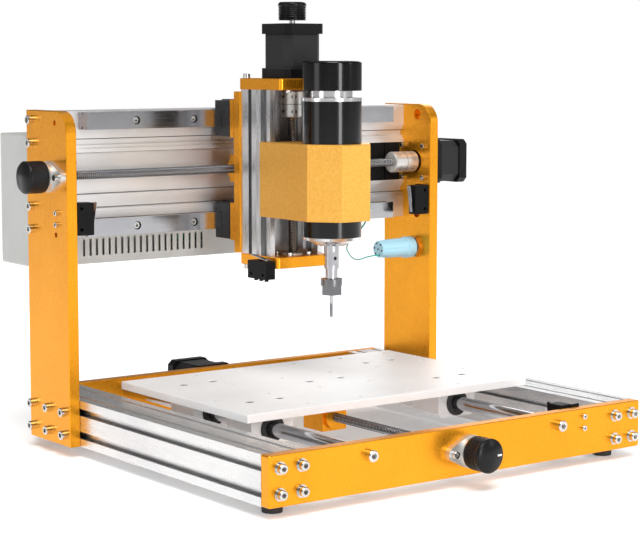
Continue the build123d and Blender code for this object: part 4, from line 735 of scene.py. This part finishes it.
def make_connector(finishes):
    """Brass hexagon nut on the upright, and the pale blue cable socket with its contact holes, drawn as dark
    plugs of painted shade.
    """
    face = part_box("right_upright")[0].x
    low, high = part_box("cable_connector")
    centre = (low + high) / 2
    place = pointing((face, centre.y, centre.z), (-1, 0, 0))
    nut = [(0, 0), (NUT_R, 0), (NUT_R, NUT_T * 0.85), (NUT_R * 0.94, NUT_T), (0, NUT_T)]
    lathed("connector_nut", nut, place, finishes["brass"], "base", segments=72,
           replaces=["cable_connector"], radius_scale=hexagonal)
    start, end = NUT_T + WASHER_T, face - low.x
    washer = [(0, NUT_T), (WASHER_R, NUT_T), (WASHER_R, start), (0, start)]
    lathed("connector_washer", washer, place, finishes["black_plastic"], "base")
    collar = start + COLLAR_L
    shell = [(0, start), (COLLAR_R - 0.3 * MM, start), (COLLAR_R, start + 0.4 * MM),
             (COLLAR_R, collar - 0.5 * MM), (COLLAR_R - 0.4 * MM, collar), (SOCKET_R, collar + 0.6 * MM),
             (SOCKET_R - 0.5 * MM, end - 9 * MM), (SOCKET_FACE_R + 0.5 * MM, end - 0.6 * MM),
             (SOCKET_FACE_R, end), (0, end)]

    def lobes(angle, height):
        if height < collar + 0.3 * MM:
            return 1
        return 1 - LOBE_DEPTH * zigzag(angle * LOBES / (2 * math.pi) + 0.5) ** 3

    lathed("connector_shell", shell, place, finishes["blue_plastic"], "base", segments=96,
           radius_scale=lobes)
    wire_exit = Vector((WIRE_ROUTE[0][1] * MM + FRONT_Y - centre.y, WIRE_ROUTE[0][2] * MM - centre.z))
    first = math.atan2(wire_exit.y, wire_exit.x)
    turns = [first + 2 * math.pi * i / CONTACTS_ROUND for i in range(CONTACTS_ROUND)]
    holes = [(0, 0)] + [(math.cos(turn), math.sin(turn)) for turn in turns]
    # each contact hole is a dark plug of painted shade
    hole = [(0, -CONTACT_DEPTH), (CONTACT_R, -CONTACT_DEPTH), (CONTACT_R, 0.05 * MM),
            (CONTACT_R - 0.15 * MM, 0.12 * MM), (0, 0.12 * MM)]
    for i, (dy, dz) in enumerate(holes):
        spot = (low.x, centre.y + dy * wire_exit.length, centre.z + dz * wire_exit.length)
        lathed(f"contact_hole_shade_{i}", hole, pointing(spot, (-1, 0, 0)), finishes["black_screw_and_hole_shade"], "base",
               segments=20)


# ---- knob marks ------------------------------------------------------------------------------
MARK_R = 9.2 * MM             # from the knob's axis to the middle of the mark
MARK_L, MARK_W = 4.4 * MM, 1.4 * MM
MARK_RISE, MARK_SINK = 0.12 * MM, 1 * MM


def make_index_mark(finishes):
    """Short white mark in the face of the front knob."""
    low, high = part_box("y_knob")
    centre = (low + high) / 2
    near, far = MARK_R - MARK_L / 2, MARK_R + MARK_L / 2
    bar = [(near, -MARK_W / 2), (far, -MARK_W / 2), (far, MARK_W / 2), (near, MARK_W / 2)]
    verts = []
    for y in (low.y - MARK_RISE, low.y + MARK_SINK):
        verts += [(centre.x + a, y, centre.z + b) for a, b in bar]
    faces = [(0, 1, 2, 3), (7, 6, 5, 4), (0, 4, 5, 1), (1, 5, 6, 2), (2, 6, 7, 3), (3, 7, 4, 0)]
    add_piece("y_knob_mark", verts, faces, finishes["white_mark"], "y_screw", smooth=False)


# ---- cable -----------------------------------------------------------------------------------
def route_curve(thickness):
    """Smooth NURBS line through the route, as a mesh: bare line, or tube of that radius."""
    curve = bpy.data.curves.new("route", "CURVE")
    curve.dimensions = "3D"
    curve.bevel_depth = thickness
    curve.bevel_resolution = 4
    curve.use_fill_caps = True
    spline = curve.splines.new("NURBS")
    spline.points.add(len(WIRE_ROUTE) - 1)
    for point, (x, y, z) in zip(spline.points, WIRE_ROUTE):
        point.co = (MIDDLE_X + x * MM, FRONT_Y + y * MM, z * MM, 1)
    spline.order_u = 3
    spline.use_endpoint_u = True
    spline.resolution_u = 10
    holder = bpy.data.objects.new("route", curve)
    bpy.context.scene.collection.objects.link(holder)
    bpy.context.view_layer.update()
    mesh = bpy.data.meshes.new_from_object(holder.evaluated_get(bpy.context.evaluated_depsgraph_get()))
    bpy.data.objects.remove(holder)
    bpy.data.curves.remove(curve)
    return mesh


def make_wire(finishes):
    line = [tuple(v.co) for v in route_curve(0).vertices]
    mesh = route_curve(WIRE_D / 2)
    mesh.name = "teal_wire"
    mesh.materials.clear()
    mesh.materials.append(finishes["teal_wire"])
    mesh.polygons.foreach_set("use_smooth", [True] * len(mesh.polygons))
    wire = bpy.data.objects.new("teal_wire", mesh)
    bpy.context.scene.collection.objects.link(wire)
    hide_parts("signal_wire")
    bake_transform(wire)


# ---- everything ------------------------------------------------------------------------------
make_camera()
FINISHES = make_materials()
make_studio(FINISHES["floor"])
finish_cad_nodes(FINISHES)
make_drives(FINISHES)
make_wire(FINISHES)
make_grub_screws(FINISHES)
make_rod_seals(FINISHES)
make_connector(FINISHES)
make_index_mark(FINISHES)
